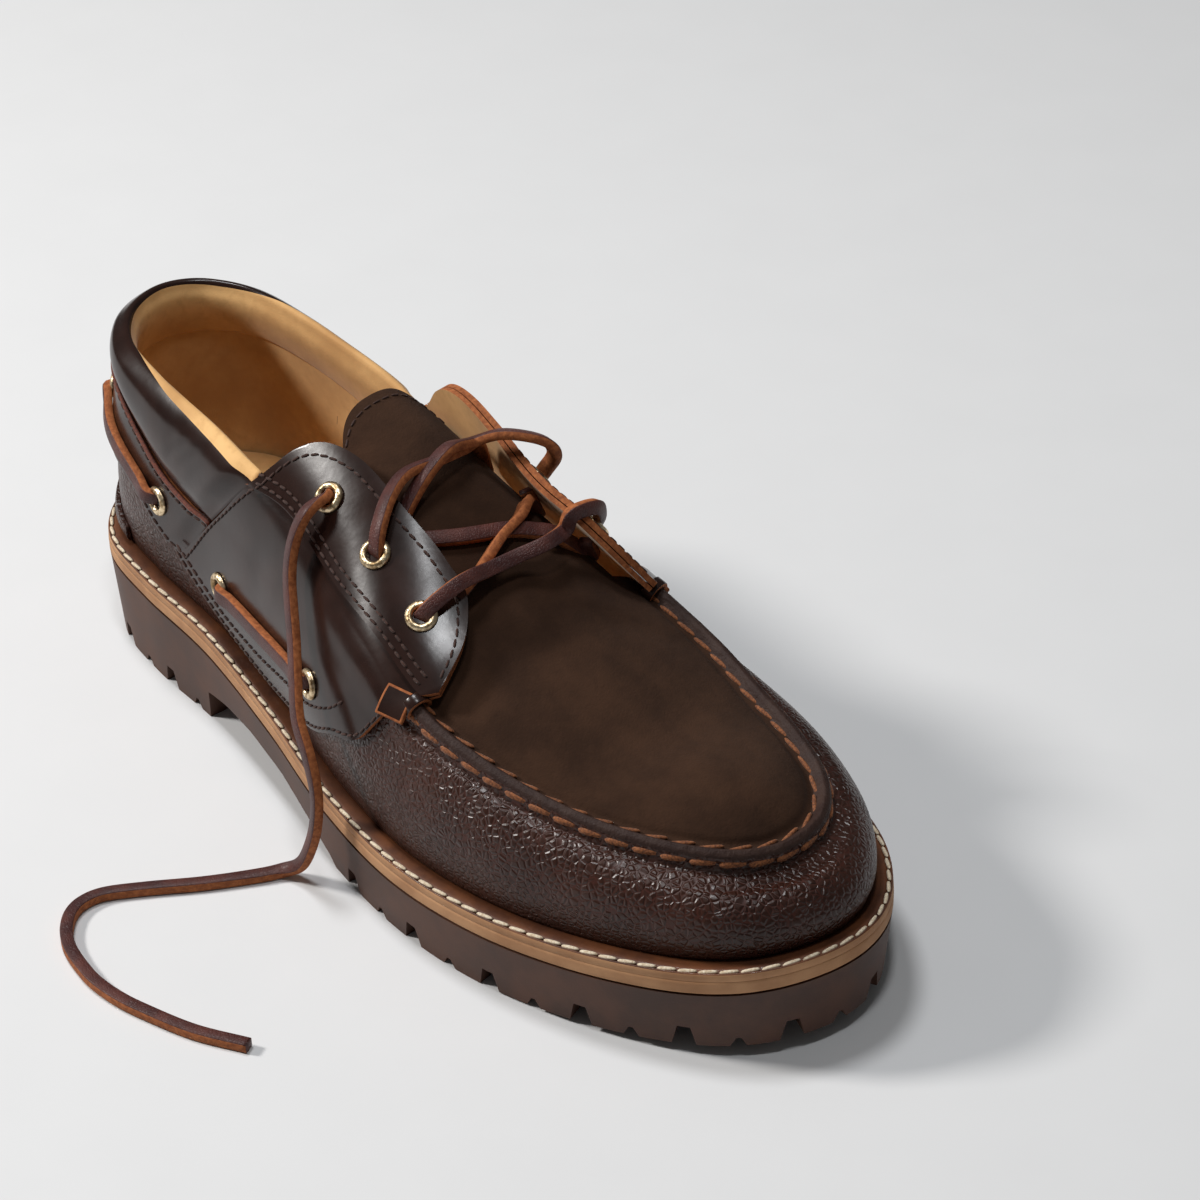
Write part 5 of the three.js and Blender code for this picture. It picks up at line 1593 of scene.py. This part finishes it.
class SHOE_OT_panel_stitches(bpy.types.Operator):
    """Sews the brown rows on the saddles, facings and heel band"""

    bl_idname = "shoe.panel_stitches"
    bl_label = "Panel stitches"

    def execute(self, context):
        last = shoe_last(context)
        pitch = in_mm(context, "seam_pitch")
        for name, side in SIDES.items():
            parts = []
            for _, off, rows in seam_rows():
                line, out = line_on(last, side, rows, off + 0.12, 300)
                parts.append(stitches(line, out, pitch, *SEAM_STITCH))
            points, faces = joined(parts)
            sewn = piece(last, "panel_stitches_" + name, "brown_thread", points, faces, merge=0)
        parts = []
        for level_of, off in ((lambda along: COLLAR_FOOT_LEVEL(along) - 0.16, QUARTER_FACE + 0.1),
                              (lambda along: QUARTER_FOOT_LEVEL(along) + 0.09, QUARTER_FACE + 0.1)):
            line = heel_strip(last, level_of, off, 300)
            whole = np.mod(np.linspace(-1, 1, 300) * turn_at(0.25), FULL_TURN)
            out = last.normal(whole, level_of(along_at(whole)))
            parts.append(stitches(line, out, pitch, *SEAM_STITCH))
        points, faces = joined(parts)
        sewn = piece(last, "heel_stitches", "brown_thread", points, faces, merge=0)
        return {"FINISHED"}


# Hardware and rawhide

EYELET_PROFILE = [
    # radius, height
    (2.3, -1), (2.3, 0.4), (2.55, 0.95), (3, 1.2), (3.5, 1.2), (4, 0.95), (4.4, 0.45), (4.5, 0),
    (3, 0), (2.9, -1),
]


def eyelet(frame_at):
    point, around, up, out = frame_at
    angle = np.linspace(0, FULL_TURN, 32, endpoint=False)
    section = []
    for radius, height in EYELET_PROFILE:
        ring = (point + around * (np.cos(angle) * radius)[:, None] + up * (np.sin(angle) * radius)[:, None]
                + out * height)
        section.append(ring)
    points, faces, _ = tube(np.stack(section, axis=1), loop=True)
    return points, faces


HOLE_SIDES = 20
HOLE_RADIUS = 2.5
HOLE_SINK = 0.4


# A near-black disc sunk inside the eyelet ring: painted shade of the hole
def hole_shade_disc(frame_at):
    point, around, up, out = frame_at
    angle = np.linspace(0, FULL_TURN, HOLE_SIDES, endpoint=False)
    ring = point + around * (np.cos(angle) * HOLE_RADIUS)[:, None]
    ring = ring + up * (np.sin(angle) * HOLE_RADIUS)[:, None] - out * HOLE_SINK
    return ring, [list(range(HOLE_SIDES))]


class SHOE_OT_eyelets(bpy.types.Operator):
    """Sets the brass eyelets on the facings and round the sides"""

    bl_idname = "shoe.eyelets"
    bl_label = "Eyelets"

    def execute(self, context):
        last = shoe_last(context)
        names = {"facing": ("front", "middle", "top"), "saddle": ("front", "middle"),
                 "quarter": ("rear", "heel")}
        discs = []
        for side_name, side in SIDES.items():
            spots = []
            for name, row in zip(names["facing"], FACING_EYELETS):
                spots.append(("eyelet", name, row, EYESTAY_FACE + 1.2 * LAYER_GAP - 0.45))
            for name, row in zip(names["saddle"], SADDLE_EYELETS):
                spots.append(("side_eyelet", name, row, SADDLE_FACE + LAYER_GAP - 0.4))
            for name, row in zip(names["quarter"], QUARTER_EYELETS):
                spots.append(("side_eyelet", name, row, QUARTER_FACE + LAYER_GAP - 0.4))
            for kind, name, (along, level), off in spots:
                seat = last.seat(side, along, level, off)
                points, faces = eyelet(seat)
                ring = piece(last, f"{kind}_ring_{side_name}_{name}", "brass", points, faces, merge=0)
                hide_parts(f"{kind}_{side_name}_{name}")
                discs.append(hole_shade_disc(seat))
        # The dark discs are painted shade inside the eyelet holes
        points, faces = joined(discs)
        dark = piece(last, "eyelet_hole_shade", "hole_shade", points, faces, merge=0)
        return {"FINISHED"}


def spot(last, row):
    """A row of place, along, level and height as a point and its way out."""
    place, along, level, off = row
    turn = FULL_TURN - turn_at(along) if place == "inner" else turn_at(along)
    make = last.at if place == "tongue" else last.facing
    point = make(turn, level, off)
    return np.concatenate([point, unit(make(turn, level, off + 1.0) - point)])


def lace_run(last, rows, count, twist=(0, 0)):
    """Path of rawhide through rows of place, along, level and height over that place."""
    line = catmull(np.array([spot(last, row) for row in rows]), count)
    path = line[:, :3]
    return path, carried(path, line[0, 3:], np.linspace(*twist, count))


def carried(path, start, twist):
    """Ways out of a strap that bends with its path and turns about it by a twist in degrees."""
    way = unit(np.gradient(path, axis=0))
    out = np.zeros_like(path)
    held = start
    for i, along in enumerate(way):
        held = held - along * (held @ along)
        held = held / np.linalg.norm(held)
        angle = math.radians(twist[i])
        out[i] = held * math.cos(angle) + np.cross(along, held) * math.sin(angle)
    return out


def lace_piece(last, name, runs):
    """One piece of rawhide from several runs, each a path and its way out."""
    tubes = [tube(strap(path, out), slots=STRAP_SLOTS) for path, out in runs]
    points, faces = joined([made[:2] for made in tubes])
    kinds = np.concatenate([made[2] for made in tubes])
    lace = piece(last, name, "rawhide cut", points, faces, kinds, merge=0)
    return lace


def side_run(last, side, start, end, face):
    """The lace between two eyelets of a side, tucked into both."""
    t = np.linspace(0, 1, 60)
    turn = turn_at(start[0]) * (1 - t) + turn_at(end[0]) * t
    level = start[1] * (1 - t) + end[1] * t
    whole = turn if side < 0 else FULL_TURN - turn
    rest = LACE_THICKNESS / 2 + 0.2
    over = bell(t, 0.06, 0.07) + bell(t, 0.94, 0.07)
    tuck = bell(t, 0, 0.03) + bell(t, 1, 0.03)
    off = face + rest + 0.8 * over - 5 * tuck
    point = last.facing(whole, level, off)
    out = unit(last.facing(whole, level, off + 1) - last.facing(whole, level, off))
    return point, out


class SHOE_OT_side_laces(bpy.types.Operator):
    """Lays the rawhide between the side eyelets"""

    bl_idname = "shoe.side_laces"
    bl_label = "Side laces"

    def execute(self, context):
        last = shoe_last(context)
        for name, side in SIDES.items():
            front = lace_piece(last, "side_rawhide_" + name + "_front",
                               [side_run(last, side, *SADDLE_EYELETS, SADDLE_FACE)])
            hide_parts("side_lace_" + name + "_front")
            rear = lace_piece(last, "side_rawhide_" + name + "_rear",
                              [side_run(last, side, *QUARTER_EYELETS, QUARTER_FACE)])
            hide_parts("side_lace_" + name + "_rear")
        return {"FINISHED"}


FRONT_BAR = [
    ("outer", 0.576, 4.33, OVER_FACING - 6), ("outer", 0.576, 4.34, OVER_FACING - 3.6),
    ("outer", 0.577, 4.42, OVER_FACING - 1.5), ("outer", 0.577, 4.56, OVER_FACING - 1.2),
    ("outer", 0.577, 4.68, 5.8), ("tongue", 0.577, 4.82, 4.6), ("tongue", 0.578, 5.05, 4.6),
    ("tongue", 0.58, 5.25, 8), ("inner", 0.584, 4.64, -3), ("inner", 0.585, 4.71, 1.5),
    ("inner", 0.584, 4.56, OVER_FACING - 0.5), ("inner", 0.577, 4.36, OVER_FACING - 1.5),
    ("inner", 0.576, 4.33, OVER_FACING - 4),
]
UNDER_RISING = [
    ("inner", 0.511, 4.31, -0.6), ("inner", 0.518, 4.15, -2.4), ("tongue", 0.53, 5.55, 2.4),
    ("tongue", 0.545, 5.35, 2.2), ("tongue", 0.556, 5.1, 2), ("tongue", 0.567, 4.9, 1.6),
    ("tongue", 0.576, 4.72, 1.1), ("tongue", 0.58, 4.6, 1),
]
UNDER_LEVEL = [
    ("tongue", 0.52, 4.52, 1), ("tongue", 0.53, 4.64, 1.1), ("tongue", 0.541, 4.82, 1.3),
    ("tongue", 0.548, 5, 1.4), ("tongue", 0.552, 5.2, 1.5), ("tongue", 0.558, 5.4, 1.8),
    ("tongue", 0.565, 5.55, 2.4), ("inner", 0.572, 4.12, -2.4), ("inner", 0.576, 4.3, -0.6),
]
TOP_OUTER = [
    ("outer", 0.511, 4.31, OVER_FACING - 6), ("outer", 0.51, 4.33, OVER_FACING - 3),
    ("outer", 0.502, 4.4, OVER_FACING - 1), ("outer", 0.488, 4.53, 6.2), ("tongue", 0.479, 4.7, 4.8),
    ("tongue", 0.482, 4.95, 3.4), ("tongue", 0.478, 5.25, 2.6), ("tongue", 0.466, 5.52, 2.6),
    ("inner", 0.452, 4.1, -2.2),
]
TOP_INNER = [
    ("inner", 0.511, 4.31, OVER_FACING - 5), ("inner", 0.513, 4.36, OVER_FACING - 1),
    ("inner", 0.517, 4.46, OVER_FACING + 3), ("inner", 0.515, 4.6, OVER_FACING + 3.4),
    ("inner", 0.506, 4.72, OVER_FACING), ("inner", 0.494, 4.79, 1.5), ("inner", 0.484, 4.73, -6),
    ("tongue", 0.481, 5.05, 6.6), ("tongue", 0.487, 4.85, 5), ("tongue", 0.493, 4.7, 2.8),
    ("tongue", 0.499, 4.56, 1.1), ("tongue", 0.502, 4.48, 1),
]


class SHOE_OT_crossings(bpy.types.Operator):
    """Runs the rawhide through the eyelets and over the tongue"""

    bl_idname = "shoe.crossings"
    bl_label = "Lace crossings"

    def execute(self, context):
        last = shoe_last(context)
        front = lace_piece(last, "rawhide_front", [
            lace_run(last, FRONT_BAR, 110), lace_run(last, UNDER_RISING, 60, (-70, -60)),
            lace_run(last, UNDER_LEVEL, 60)])
        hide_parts("lace_crossing_front")
        top = lace_piece(last, "rawhide_top", [
            lace_run(last, TOP_OUTER, 80), lace_run(last, TOP_INNER, 110, (0, -30))])
        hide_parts("lace_crossing_top")
        return {"FINISHED"}


LACE_END = [
    # x, y, z on the frame, in millimetres
    (-15.2, -34.4, 101.8), (-16.4, -37.4, 98.8), (-17.4, -40.6, 94), (-17.4, -43.4, 87.5),
    (-15.6, -46, 80.5), (-12, -48.6, 74.5), (-7, -52, 67.5), (-1.2, -56.4, 60), (5, -60.8, 52.5),
    (12, -63, 44.5), (15.6, -64, 35), (14.6, -64.4, 24), (11, -64.6, 14), (6.4, -65, 6),
    (1.5, -67.4, 2.3), (-2, -74.1, 1.7), (-9.3, -87.2, 1.7), (-17.8, -100, 1.7), (-23.6, -110, 1.7),
    (-24.4, -116.6, 1.7), (-22.2, -121.8, 1.7), (-17.7, -126.1, 1.7), (-12.8, -128.9, 1.7),
    (-7.7, -130.6, 1.7), (-1, -131.8, 1.7), (6.1, -132.4, 1.7), (14.9, -131.6, 1.7),
    (23.7, -129.5, 1.7), (39.5, -124.2, 1.7), (53.7, -116.5, 1.7),
]


FREE_END_SECTION = (3.5, 2.8)


class SHOE_OT_lace_end(bpy.types.Operator):
    """Lays the free end of the rawhide from the top eyelet to the floor"""

    bl_idname = "shoe.lace_end"
    bl_label = "Free lace end"

    def execute(self, context):
        last = shoe_last(context)
        point, _, _, inward = last.seat(-1, *FACING_EYELETS[2], EYESTAY_FACE)
        path = catmull([point - inward * 1.5, point + inward, *LACE_END[1:]], 220)
        share = np.linspace(0, 1, len(path))
        hang = np.array([-0.25, -0.9, 0.35])
        lying = np.array([0.0, 0.0, 1.0])
        floor = smoothstep(share, 0.42, 0.56)[:, None]
        out = unit(hang * (1 - floor) + lying * floor)
        points, faces, kinds = tube(strap(path, out, *FREE_END_SECTION), slots=STRAP_SLOTS)
        lace = piece(last, "rawhide_free_end", "rawhide cut", points, faces, kinds, merge=0)
        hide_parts("lace_end")
        return {"FINISHED"}


TAB_HALF = 4.3
TAB_THICKNESS = 1.3
TAB_BOW = 0.5
TAB_LEAN = 0.5
TAB_STEPS = 14
LOOP_ALONG = 0.622
LOOP_RADIUS = 3.3
LOOP_HEIGHT = 1.4
LOOP_SECTION = (3.2, 1.4)


class SHOE_OT_keepers(bpy.types.Operator):
    """Fixes the square tab and its knot where the moc seam starts"""

    bl_idname = "shoe.keepers"
    bl_label = "Keeper tabs"

    def execute(self, context):
        last = shoe_last(context)
        for name, side in SIDES.items():
            point, around, up, out = last.seat(side, *KEEPER, SADDLE_FACE + LAYER_GAP)
            lean = -side * TAB_LEAN
            a = around * math.cos(lean) + up * math.sin(lean)
            b = up * math.cos(lean) - around * math.sin(lean)
            steps = np.linspace(-1, 1, TAB_STEPS)
            t, r = np.meshgrid(steps, steps, indexing="ij")
            back = point + (t * TAB_HALF)[..., None] * a + (r * TAB_HALF)[..., None] * b
            front = back + (TAB_THICKNESS + TAB_BOW * (1 - r ** 2))[..., None] * out
            points, faces, kinds = wall(front, back, slots=(0, 0, 1))
            rim = np.zeros((len(t) - 1, len(t) - 1), int)
            rim[[0, -1]] = 1
            rim[:, [0, -1]] = 1
            kinds[:rim.size] = rim.ravel()
            tab = piece(last, "keeper_tab_" + name, "smooth cut", points, faces, kinds)
            soften(tab, 0.3)
            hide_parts("keeper_" + name)
            turn = turn_on(side, LOOP_ALONG)
            level = ridge_level(turn)
            middle = last.at(turn, level, LOOP_HEIGHT)
            ahead = unit(last.at(turn + SMALL, level, LOOP_HEIGHT) - middle)
            outward = last.normal(turn, level)
            across = np.cross(ahead, outward)
            angle = np.linspace(0, FULL_TURN, 40)[:, None]
            radial = across * np.cos(angle) + outward * np.sin(angle)
            line = middle + radial * LOOP_RADIUS
            points, faces, kinds = tube(strap(line, radial, *LOOP_SECTION), slots=STRAP_SLOTS)
            knot = piece(last, "keeper_loop_" + name, "smooth cut", points, faces, kinds, merge=0)
        return {"FINISHED"}


class SHOE_PT_build(bpy.types.Panel):
    """Lists the steps that dress the shoe"""

    bl_label = "Boat shoe"
    bl_idname = "SHOE_PT_build"
    bl_space_type = "VIEW_3D"
    bl_region_type = "UI"
    bl_category = "Shoe"

    def draw(self, context):
        for name in ShoeSizes.__annotations__:
            self.layout.prop(context.scene.shoe_sizes, name)
        for name in ShoeColours.__annotations__:
            self.layout.prop(context.scene.shoe_colours, name)
        for step in STEPS:
            self.layout.operator(step.bl_idname)


STEPS = (
    SHOE_OT_stage, SHOE_OT_lace_end, SHOE_OT_outsole, SHOE_OT_midsole, SHOE_OT_welt, SHOE_OT_insole,
    SHOE_OT_upper, SHOE_OT_moc_stitches, SHOE_OT_tongue, SHOE_OT_saddles, SHOE_OT_eyestays,
    SHOE_OT_heel_quarter, SHOE_OT_collar, SHOE_OT_panel_stitches, SHOE_OT_eyelets,
    SHOE_OT_side_laces, SHOE_OT_crossings, SHOE_OT_keepers,
)
CLASSES = (ShoeSizes, ShoeColours, *STEPS, SHOE_PT_build)


def register():
    for kind in CLASSES:
        bpy.utils.register_class(kind)
    bpy.types.Scene.shoe_sizes = PointerProperty(type=ShoeSizes)
    bpy.types.Scene.shoe_colours = PointerProperty(type=ShoeColours)


def unregister():
    del bpy.types.Scene.shoe_colours
    del bpy.types.Scene.shoe_sizes
    for kind in reversed(CLASSES):
        bpy.utils.unregister_class(kind)


def main():
    register()
    for step in STEPS:
        group, name = step.bl_idname.split(".")
        getattr(getattr(bpy.ops, group), name)()


if __name__ == "__main__":
    main()
